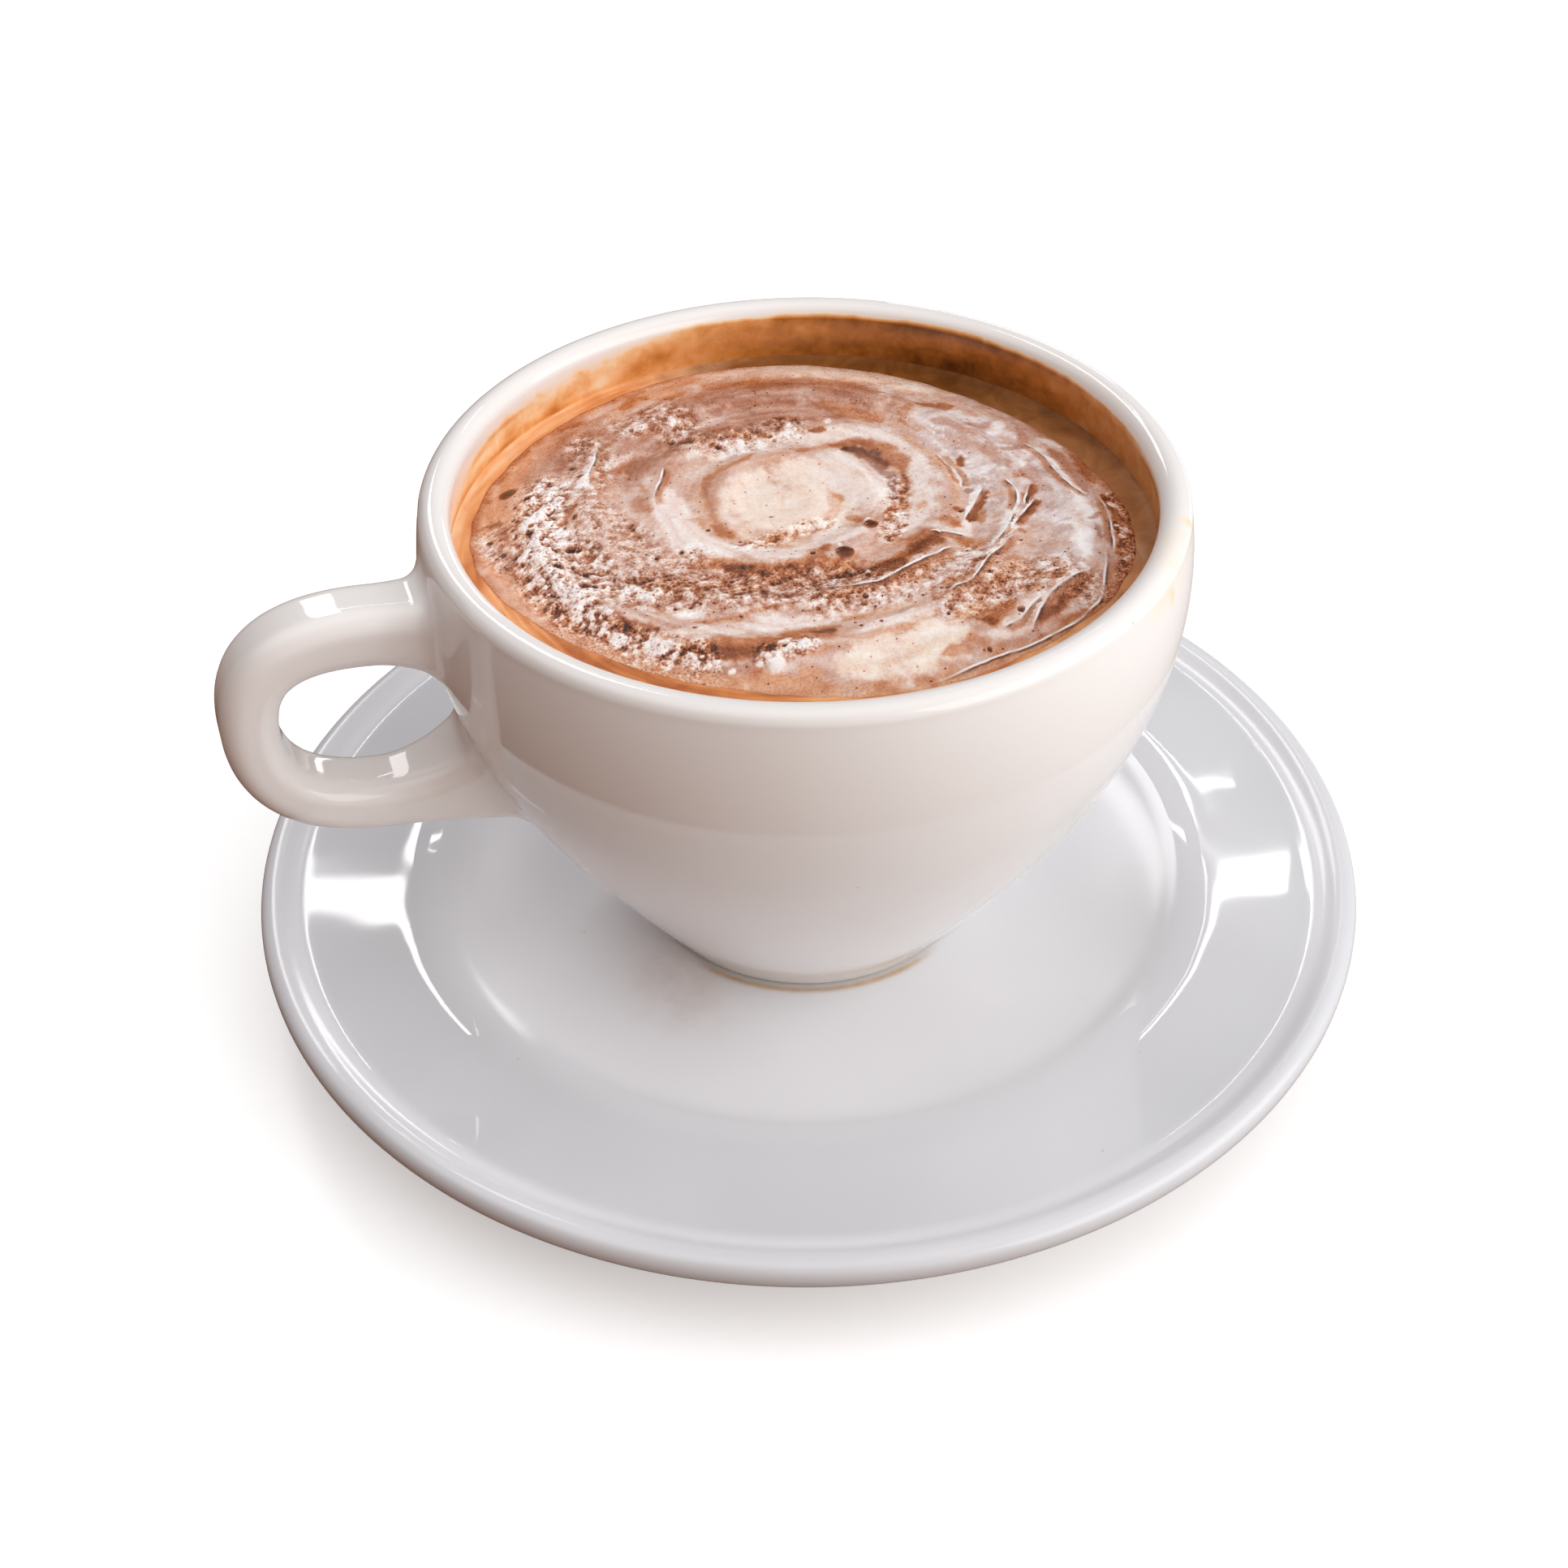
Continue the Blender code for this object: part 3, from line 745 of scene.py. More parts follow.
# %% Handle rings
ear = bmesh.new()
rings = []
last = len(ear_line) - 1
for i, (reach_out, rise) in enumerate(ear_line):
    u = i / last
    before, after = ear_line[max(i - 1, 0)], ear_line[min(i + 1, last)]
    along = Vector((-(after[0] - before[0]), 0.0, after[1] - before[1])).normalized()
    across = Vector((0.0, 1.0, 0.0))
    outwards = across.cross(along)
    top, low = flare(u, EAR_TOP_FLARE_LENGTH), flare(1 - u, EAR_LOWER_FLARE_LENGTH)
    width = EAR_WIDTH + top * EAR_TOP_FLARE[0] + low * EAR_LOWER_FLARE[0]
    thickness = EAR_TOP_THICKNESS + u * (EAR_LOWER_THICKNESS - EAR_TOP_THICKNESS)
    thickness += top * EAR_TOP_FLARE[1] + low * EAR_LOWER_FLARE[1] - EAR_THIN * math.sin(math.pi * u) ** 2
    centre = Vector((-reach_out, 0.0, rise + FOOT_Z))
    ring = []
    for spot, face in section(width, thickness):
        point = centre + across * spot.x + outwards * spot.y
        point = grow_fillet(point, across * face.x + outwards * face.y)
        ring.append(ear.verts.new(point * MM))
    rings.append([ear.edges.new((ring[k - 1], ring[k])) for k in range(len(ring))])
for first, second in zip(rings, rings[1:]):
    bmesh.ops.bridge_loops(ear, edges=first + second)
bmesh.ops.edgeloop_fill(ear, edges=rings[0])
bmesh.ops.edgeloop_fill(ear, edges=rings[-1])
bmesh.ops.recalc_face_normals(ear, faces=ear.faces)
print("handle:", len(rings), "rings of", len(rings[0]), "points")

# %% [markdown]
# The handle and the bowl are joined to one body, as clay is, and the points along the join are
# smoothed a little, as a wet sponge does.

# %% Fuse the handle to the cup
ear_mesh = bpy.data.meshes.new("ear")
ear.to_mesh(ear_mesh)
ear.free()
ear_object = bpy.data.objects.new("ear", ear_mesh)
bowl_mesh = bpy.data.meshes.new("bowl")
bowl = turned(cup_profile, CUP_SIDES)
bowl.to_mesh(bowl_mesh)
bowl.free()
bowl_object = bpy.data.objects.new("bowl", bowl_mesh)
for item in (ear_object, bowl_object):
    bpy.context.scene.collection.objects.link(item)
union = bowl_object.modifiers.new("fuse", "BOOLEAN")
union.operation = "UNION"
union.solver = "EXACT"
union.object = ear_object
fused = bpy.data.meshes.new_from_object(bowl_object.evaluated_get(bpy.context.evaluated_depsgraph_get()))
for item in (ear_object, bowl_object):
    bpy.data.objects.remove(item, do_unlink=True)
cup_bm = bmesh.new()
cup_bm.from_mesh(fused)
bmesh.ops.remove_doubles(cup_bm, verts=cup_bm.verts, dist=1e-6)
print("fused cup:", len(cup_bm.verts), "points")

# %% Smooth the join
JOIN_HALF = 0.7
JOIN_ROUNDS = 10
join = [vert for vert in cup_bm.verts if vert.co.x < -30 * MM and abs(vert.co.y) < 12 * MM
        and abs(wall_gap(vert.co / MM)) < JOIN_HALF]
for _ in range(JOIN_ROUNDS):
    bmesh.ops.smooth_vert(cup_bm, verts=join, factor=0.5, use_axis_x=True, use_axis_y=True, use_axis_z=True)
print("smoothed", len(join), "points along the handle's join")
cup = add_piece("porcelain_cup", cup_bm, cup_finish, "cup")

# %% Measure the cup
check = bmesh.new()
check.from_mesh(cup.data)
print("cup open edges:", sum(1 for edge in check.edges if not edge.is_manifold),
      "volume cm3:", round(check.calc_volume() * 1e6, 1))
check.free()

# %% [markdown]
# The cup has been drunk from or carried: the inside of its wall above the drink wears a film of
# coffee. It is thick and dark on the far side, thins out to orange on the far left, and a little
# has run over the lip on the right. The film is painted by bearing and by depth below the lip.

# %% Cup stain
DRINK_TOP = FOOT_Z + 56.9


def by_bearing(table, bearing):
    """A value that changes round the axis, from (degrees, value) pairs in rising order."""
    angles = [a for a, v in table]
    values = [v for a, v in table]
    return np.interp(bearing % 360, angles, values, period=360)


# Bearings in degrees from +X, counter-clockwise from above: how dark the film is, how far below
# the lip it stops in millimetres, how softly, and how dark its lower and upper drying lines are.
FILM_DEPTH = ((0, 0.46), (15, 0.52), (30, 0.70), (42, 0.78), (60, 0.75), (75, 0.66), (90, 0.50),
              (105, 0.22), (118, 0.20), (130, 0.30), (150, 0.26), (170, 0.24), (200, 0.14), (260, 0.12),
              (300, 0.16), (330, 0.44), (345, 0.50))
FILM_STOP = ((0, 1.5), (30, 1.1), (60, 1.0), (90, 1.1), (105, 1.9), (120, 2.4), (132, 2.9), (145, 3.5),
             (160, 5.6), (200, 7.4), (300, 7.2), (325, 4.0), (345, 2.0))
FILM_SOFT = ((0, 1.0), (60, 0.9), (90, 1.2), (110, 2.6), (130, 3.0), (160, 2.4), (200, 1.0), (320, 1.2))
FILM_WATERLINE = ((90, 0.0), (120, 0.25), (140, 0.38), (190, 0.38), (240, 0.30), (300, 0.2), (330, 0.0))
FILM_DRYING_LINE = ((0, 0.32), (20, 0.28), (45, 0.20), (70, 0.10), (95, 0.08), (115, 0.0), (126, 0.10),
                    (134, 0.34), (144, 0.30), (154, 0.0), (300, 0.0), (335, 0.34))
# Bearing, height below the lip, radius and strength of the darker blots in the film; then place,
# radius and strength of the drips that ran over the lip on the right.
FILM_BLOTS = ((121, 6.9, 1.9, 0.34), (117, 6.4, 1.3, 0.26), (113, 5.6, 1.7, 0.24), (103, 6.2, 2.6, 0.34),
              (98, 5.6, 2.4, 0.26), (107, 2.6, 0.6, 0.36), (109, 3.0, 0.5, 0.22), (115, 2.9, 0.7, 0.22),
              (125, 3.0, 0.6, 0.20), (133, 6.4, 1.6, 0.16))
LIP_DRIPS = (((39.4, -23.6, 73.1), 0.8, 0.13), ((40.4, -24.2, 73.0), 0.7, 0.17),
             ((41.2, -24.4, 72.4), 0.8, 0.15), ((34.0, -34.0, 70.2), 1.1, 0.24),
             ((33.2, -34.4, 71.2), 1.3, 0.15), ((34.4, -30.6, 72.6), 2.6, 0.07),
             ((37.0, -27.0, 73.0), 2.4, 0.07), ((30.4, -36.2, 70.6), 1.6, 0.10),
             ((36.4, -31.4, 70.4), 1.8, 0.07))

# %% Cup film
where = points_of(cup.data)
reach = np.hypot(where[:, 0], where[:, 1])
bearing = np.degrees(np.arctan2(where[:, 1], where[:, 0])) % 360
wall_middle = np.interp(where[:, 2], outer_heights, outer_radii) - WALL / 2
inside_lip = smooth_step(0.4, -0.6, reach - wall_middle) * (where[:, 2] > FOOT_Z + 20.0)
below_top = LIP_TOP - where[:, 2]
round_x, round_y = np.cos(np.radians(bearing)) * 40, np.sin(np.radians(bearing)) * 40
wander = rough_hills(round_x + 200, round_y + where[:, 2] * 0.3, 9.0, 21, 3)
edge = below_top - by_bearing(FILM_STOP, bearing) - 0.35 * wander
mottle = rough_hills(round_x, round_y + where[:, 2] * 2.2, 11.0, 31)
film = smooth_step(-0.2, 1.0, edge / by_bearing(FILM_SOFT, bearing)) * by_bearing(FILM_DEPTH, bearing)
film *= 0.98 + 0.10 * mottle
film += by_bearing(FILM_DRYING_LINE, bearing) * np.exp(-((edge - 0.9) / 0.55) ** 2)
film += 0.10 * smooth_step(4.2, 6.2, below_top) * smooth_step(0.35, 0.6, film)
above_drink = where[:, 2] - DRINK_TOP
film += by_bearing(FILM_WATERLINE, bearing) * np.exp(-((above_drink - 1.0 - 0.3 * wander) / 0.45) ** 2)
for blot_bearing, depth, radius, strength in FILM_BLOTS:
    sideways = (bearing - blot_bearing) * 0.75
    off = (sideways / radius) ** 2 + ((below_top - depth) / (0.7 * radius)) ** 2
    film += strength * np.exp(-off * (1 + 0.5 * mottle))
film = film * inside_lip
for spot, radius, strength in LIP_DRIPS:
    off = np.linalg.norm(where - np.array(spot), axis=1) / radius
    film += strength * np.exp(-off ** 2) * (1 + 0.6 * mottle)
paint(cup.data, "film", np.clip(film, 0.0, 1.0))
print("film covers", int((film > 0.05).sum()), "points of the cup")

# %% [markdown]
# ## The drink
# The chocolate coffee is a still, dark, glossy liquid. It climbs the wall a little at its edge. On
# the left and in front a skin of orange crema lies on it, and the foam floats in the middle.

# %% Drink profile
DRINK_SIDES = 320
MENISCUS = 1.6
upper_wall = inner_wall[-60:]
wall_there = float(np.interp(DRINK_TOP, [z for r, z in upper_wall], [r for r, z in upper_wall]))
drink_edge = wall_there + 0.05
drink_side = [p for p in hollow(WALL + 0.25) if p[1] < DRINK_TOP - 0.8]
drink_profile = [(0.0, DRINK_TOP)] + straight((0.0, DRINK_TOP), (28.0, DRINK_TOP), 14)
drink_profile += straight((28.0, DRINK_TOP), (drink_edge - MENISCUS, DRINK_TOP), 44)
drink_profile += bezier((drink_edge - MENISCUS, DRINK_TOP), (drink_edge - 0.7, DRINK_TOP),
                        (drink_edge - 0.2, DRINK_TOP + 0.15), (drink_edge, DRINK_TOP + 0.6), 10)[1:]
drink_profile += list(reversed(drink_side[::3]))
print("drink meets the wall at radius", round(drink_edge, 2), "mm")

# %% [markdown]
# The crema is painted by bearing and by its distance from the wall, with its inner edge torn by
# noise, so that orange skin and dark liquid run into each other as they do in the cup.

# %% Drink material
COFFEE_ROUGHNESS, CREMA_DULLNESS, EDGE_DULLNESS = 0.10, 0.22, 0.5
WATER_IOR = 1.33
drink_finish, tree, shader = new_material("chocolate_coffee")
place = node(tree, "ShaderNodeTexCoord").outputs["Object"]
crema = node(tree, "ShaderNodeAttribute", attribute_name="crema").outputs["Fac"]
skin = node(tree, "ShaderNodeAttribute", attribute_name="skin").outputs["Fac"]
rising = node(tree, "ShaderNodeAttribute", attribute_name="rising").outputs["Fac"]
cloudy = node(tree, "ShaderNodeAttribute", attribute_name="cloudy").outputs["Fac"]
swirl = noise(tree, place, 160.0, detail=5.0, roughness=0.6, distortion=1.2)
torn = math_node(tree, "MULTIPLY_ADD", math_node(tree, "SUBTRACT", swirl, 0.5), 0.5, crema)
torn = math_node(tree, "MULTIPLY_ADD", torn, 1.6, -0.3, clamp=True)
coffee_dark = ramp(tree, swirl, [(0.3, tint(106, 60, 22)), (0.7, tint(156, 98, 46))])
streaked = math_node(tree, "MULTIPLY_ADD", math_node(tree, "SUBTRACT", swirl, 0.5), 0.5, skin, clamp=True)
coffee_milky = ramp(tree, swirl, [(0.3, tint(156, 104, 66)), (0.7, tint(192, 140, 98))])
coffee = blend_colours(tree, cloudy, coffee_dark, coffee_milky)
crema_colour = ramp(tree, streaked, [(0.0, tint(176, 98, 50)), (0.3, tint(216, 138, 82)),
                                     (0.6, tint(240, 174, 118)), (1.0, tint(252, 214, 172))])
link(tree, blend_colours(tree, torn, coffee, crema_colour), shader, "Base Color")
dull = math_node(tree, "MULTIPLY_ADD", torn, CREMA_DULLNESS, COFFEE_ROUGHNESS)
dull = math_node(tree, "MULTIPLY_ADD", rising, EDGE_DULLNESS, dull, clamp=True)
link(tree, dull, shader, "Roughness")
fine = noise(tree, place, 900.0, detail=3.0)
bump = node(tree, "ShaderNodeBump", {"Strength": 0.04, "Distance": 0.0003, "Height": fine})
link(tree, bump.outputs["Normal"], shader, "Normal")
shader.inputs["IOR"].default_value = WATER_IOR
shader.inputs["Specular IOR Level"].default_value = 0.35
print("coffee material:", len(tree.nodes), "nodes")

# %% Drink
drink = add_piece("chocolate_drink", turned(drink_profile, DRINK_SIDES), drink_finish, "mocha_drink")

# %% Crema and skin
# Bearing by bearing: how much crema lies on the drink, how much darker its skin is, and how milky
# the bare coffee is. The skin is darkest in a ring beside the foam, painted shade where the foam
# sits on the drink, and lightest along the wall.
FOAM_SHADE_RING = 36.0
CREMA_BY_BEARING = ((0, 0.0), (60, 0.0), (80, 0.12), (96, 0.6), (112, 0.95), (150, 1.0), (200, 1.0),
                    (290, 0.9), (310, 0.6), (330, 0.25), (345, 0.05))
SKIN_SHADE = ((150, 0.04), (190, 0.14), (210, 0.34), (235, 0.22), (265, 0.04))
CLOUDY_BY_BEARING = ((0, 0.60), (25, 0.30), (50, 0.0), (280, 0.8), (310, 0.9), (330, 0.8), (345, 0.65))
where = points_of(drink.data)
bearing = np.degrees(np.arctan2(where[:, 1], where[:, 0])) % 360
crema_amount = by_bearing(CREMA_BY_BEARING, bearing + 5 * hills(where[:, 0], where[:, 1], 9.0, 77))
paint(drink.data, "crema", crema_amount)
out = np.hypot(where[:, 0], where[:, 1])
round_cup = np.radians(bearing) * 40 / 5
skin = 0.52 + 0.24 * rough_hills(out + 500, round_cup + 500, 2.4, 81, 3)
skin += 0.20 * rough_hills(2.5 * out + 700, round_cup + 700, 1.6, 83, 2)
# The dip just beside the foam is painted shade.
skin += 0.25 * smooth_step(41.5, 43.6, out) - 0.30 * np.exp(-((out - FOAM_SHADE_RING) / 0.9) ** 2)
skin -= by_bearing(SKIN_SHADE, bearing)
paint(drink.data, "skin", np.clip(skin, 0.0, 1.0))
paint(drink.data, "cloudy", by_bearing(CLOUDY_BY_BEARING, bearing))
paint(drink.data, "rising", smooth_step(drink_edge - 2.2, drink_edge - 0.8, out))
print("crema lies on", round(100 * float((crema_amount > 0.5).mean())), "% of the drink's points")

# %% [markdown]
# ## The foam
# Steamed milk was poured in and stirred, so it lies in rings round a point behind the middle: white
# milk, brown coffee, white again. On the left it is a dry froth with pits and burst bubbles; on the
# right it is wet and smooth, with ridges that catch the light. Each vertex of a fine cap is raised
# and toned by the same functions, so every streak, ridge and bubble is in the mesh itself.

# %% Foam outline
FOAM_BASE = DRINK_TOP - 0.1
FOAM_CELLS = 300
FOAM_REACH = 41.6
FOAM_RADIUS_BY_BEARING = ((0, 39.9), (18, 39.4), (36, 39.4), (54, 40.6), (72, 41.9), (90, 42.5), (108, 42.2),
                          (126, 41.8), (144, 42.0), (160, 42.0), (172, 41.0), (184, 38.4), (196, 36.0),
                          (208, 34.2), (224, 33.0), (240, 32.4), (256, 33.0), (270, 34.3), (284, 34.9),
                          (298, 36.0), (312, 38.0), (326, 40.4), (340, 41.4), (350, 41.0))
SWIRL_CENTRE = (-1.0, 6.0)
SWIRL_PITCH = 8.4
SWIRL_START = 0.35
SWIRL_FADE_IN = 7.0
FOAM_EDGE_THICKNESS = 0.14
FOAM_BODY = 1.4
FOAM_RIDGE = 1.0
FOAM_SHOULDER = 0.20
# Round the foam, bearing by bearing: how gently it thins to its edge, how much of its margin has
# taken the crema's colour, how wide that margin is in millimetres, and how light it is.
EDGE_GENTLE = ((0, 0.6), (40, 0.5), (80, 0.6), (105, 1.0), (310, 1.0), (330, 0.8))
EDGE_MERGED = ((0, 0.6), (30, 0.15), (70, 0.2), (92, 0.7), (110, 1.0), (300, 1.0), (320, 0.8),
               (335, 0.9), (352, 0.9))
EDGE_WIDTH = ((0, 1.6), (60, 1.4), (110, 1.8), (150, 1.2), (180, 2.0), (215, 3.0), (300, 2.6), (330, 2.0))
EDGE_TONE = ((0, 0.34), (60, 0.40), (92, 0.54), (130, 0.46), (160, 0.44), (184, 0.54), (220, 0.58),
             (290, 0.57), (312, 0.46), (326, 0.32))


def foam_edge(angle):
    """The distance of the foam's edge from the cup's axis: a rounded curve through the table."""
    degrees = np.degrees(angle) % 360
    rounded = sum(by_bearing(FOAM_RADIUS_BY_BEARING, degrees + turn) for turn in range(-9, 10, 3)) / 7
    return rounded + 0.25 * hills(40 * np.cos(angle), 40 * np.sin(angle), 4.0, 91)


# %% Lines on the foam
def smooth_line(points, steps=5):
    """A rounded line through the given points."""
    ends = [points[0], *points, points[-1]]
    line = []
    for a, b, c, d in zip(ends, ends[1:], ends[2:], ends[3:]):
        for step in range(steps):
            t = step / steps
            line.append(tuple(0.5 * (2 * q + (r - p) * t + (2 * p - 5 * q + 4 * r - s) * t * t
                                     + (3 * q - p - 3 * r + s) * t ** 3) for p, q, r, s in zip(a, b, c, d)))
    return line + [points[-1]]


def close_to(x, y, points, reach):
    """Which places lie in the box round the points, widened by reach."""
    across, along = [p[0] for p in points], [p[1] for p in points]
    return ((x > min(across) - reach) & (x < max(across) + reach)
            & (y > min(along) - reach) & (y < max(along) + reach))


def line_distance(x, y, points):
    """Each place's distance from a rounded line, less than 0 on the line's left; and how far along
    the line the place is, 0 to 1."""
    line = smooth_line(points)
    nearest = np.full_like(x, 1e9)
    along = np.zeros_like(x)
    side = np.ones_like(x)
    count = len(line) - 1
    for i, ((ax, ay), (bx, by)) in enumerate(zip(line, line[1:])):
        dx, dy = bx - ax, by - ay
        t = np.clip(((x - ax) * dx + (y - ay) * dy) / max(dx * dx + dy * dy, 1e-9), 0.0, 1.0)
        off_x, off_y = x - ax - t * dx, y - ay - t * dy
        distance = np.hypot(off_x, off_y)
        closer = distance < nearest
        nearest = np.where(closer, distance, nearest)
        along = np.where(closer, (i + t) / count, along)
        side = np.where(closer, np.where(off_x * dy - off_y * dx >= 0, 1.0, -1.0), side)
    return nearest * side, along


# %% [markdown]
# The colours of the foam are mixes of milk and coffee. Each wash is a tone from 0, black coffee, to
# 1, white milk, and a warmth from 0, where the milk looks cool and wet, to 1, where fat and coffee
# make it orange. The streaks are laid down in order, wide ones first, as the spoon left them: each
# is a wash, a half width in millimetres, a strength and a line in millimetres from the cup's axis.

# %% Foam washes
# The white wash is the milk's own white, and in the thin lines on the wet right side it is a painted
# highlight.
MILK_WHITE_AND_HIGHLIGHT = (0.97, 0.20)
MILK = (0.84, 0.35)
CREAM = (0.88, 0.75)
PEARL = (0.735, 0.10)
BEIGE = (0.625, 0.45)
TAN = (0.62, 0.85)
CREMA = (0.60, 1.0)
MAUVE = (0.48, 0.46)
BAND = (0.79, 0.85)
RUST = (0.39, 1.0)
BROWN = (0.22, 0.90)
SMOKE = (0.38, 0.15)
DARK = (0.12, 0.60)

# %% Foam broad streaks
BROAD_STREAKS = (
    (TAN, 5.5, 0.9, ((-35, 10), (-35, 18), (-32, 25), (-26, 31))),
    (CREMA, 3.4, 0.9, ((-39, 12), (-38, 18), (-34, 25), (-29, 30))),
    (MAUVE, 5.5, 0.9, ((-25, 24), (-18, 21), (-12, 24), (0, 27), (12, 26), (20, 24))),
    (MAUVE, 4.0, 0.8, ((-8, 33), (2, 33), (10, 31), (18, 27))),
    (BEIGE, 4.5, 0.8, ((-24, 14), (-24.5, 5), (-22, -3))),
    (MILK, 3.2, 0.85, ((-14, 12), (-15, 6), (-14, 0), (-11, -4))),
    (CREAM, 7.0, 0.95, ((-3, 11), (-4, 5), (2, 3), (6, 7), (3, 12))),
    (MILK, 5.0, 0.9, ((8, 13), (9.5, 7), (9, 2))),
    (MAUVE, 4.0, 0.95, ((-24, -5), (-18, -8), (-11, -10), (-3, -12), (5, -12))),
    (RUST, 2.6, 0.5, ((-22, -7), (-16, -9), (-9, -11), (-3, -12))),
    (MAUVE, 2.0, 0.6, ((-18, -12), (-10, -13.5), (-3, -14))),
    (PEARL, 9.0, 0.95, ((25, 17), (28, 8), (27, -2), (29, -10))),
    (PEARL, 4.5, 0.9, ((22, 14), (24, 5), (26, -5))),
    (PEARL, 4.5, 0.9, ((33, 3), (33, -6), (31, -13), (28, -18))),
    (BEIGE, 5.0, 0.8, ((12, -22), (19, -20), (25, -19))),
    (RUST, 1.6, 0.45, ((8, -20), (14, -21), (19, -19), (22, -16))),
    (BEIGE, 4.0, 0.8, ((-5, -17), (3, -18.5), (10, -17))),
    (RUST, 1.4, 0.5, ((-4, -15.6), (2, -16.4), (8, -15.4), (13, -13.4))),
    (BEIGE, 2.6, 0.7, ((-3, -21), (4, -21), (9, -21.5))),
    (CREAM, 4.8, 1.0, ((-4, -28.5), (3, -28.8), (9, -27))),
    (CREAM, 3.4, 1.0, ((-3, -28.6), (2, -28.6), (7, -28))),
    (CREMA, 3.6, 0.95, ((-20, -26), (-14, -29), (-8, -31))),
    (RUST, 2.4, 0.6, ((-8, 36), (2, 36.5), (10, 34), (18, 29.5))),
    (BAND, 3.0, 1.0, ((-9, 41), (0, 40.6), (6, 39.8), (13, 37), (19, 33.5), (25, 29), (29, 25))),
    (CREMA, 2.2, 0.8, ((-14, 36), (-8, 38.5), (-2, 40.5))),
    (CREMA, 3.0, 0.9, ((-37, 27), (-31, 32), (-24, 36), (-17, 39))),
)

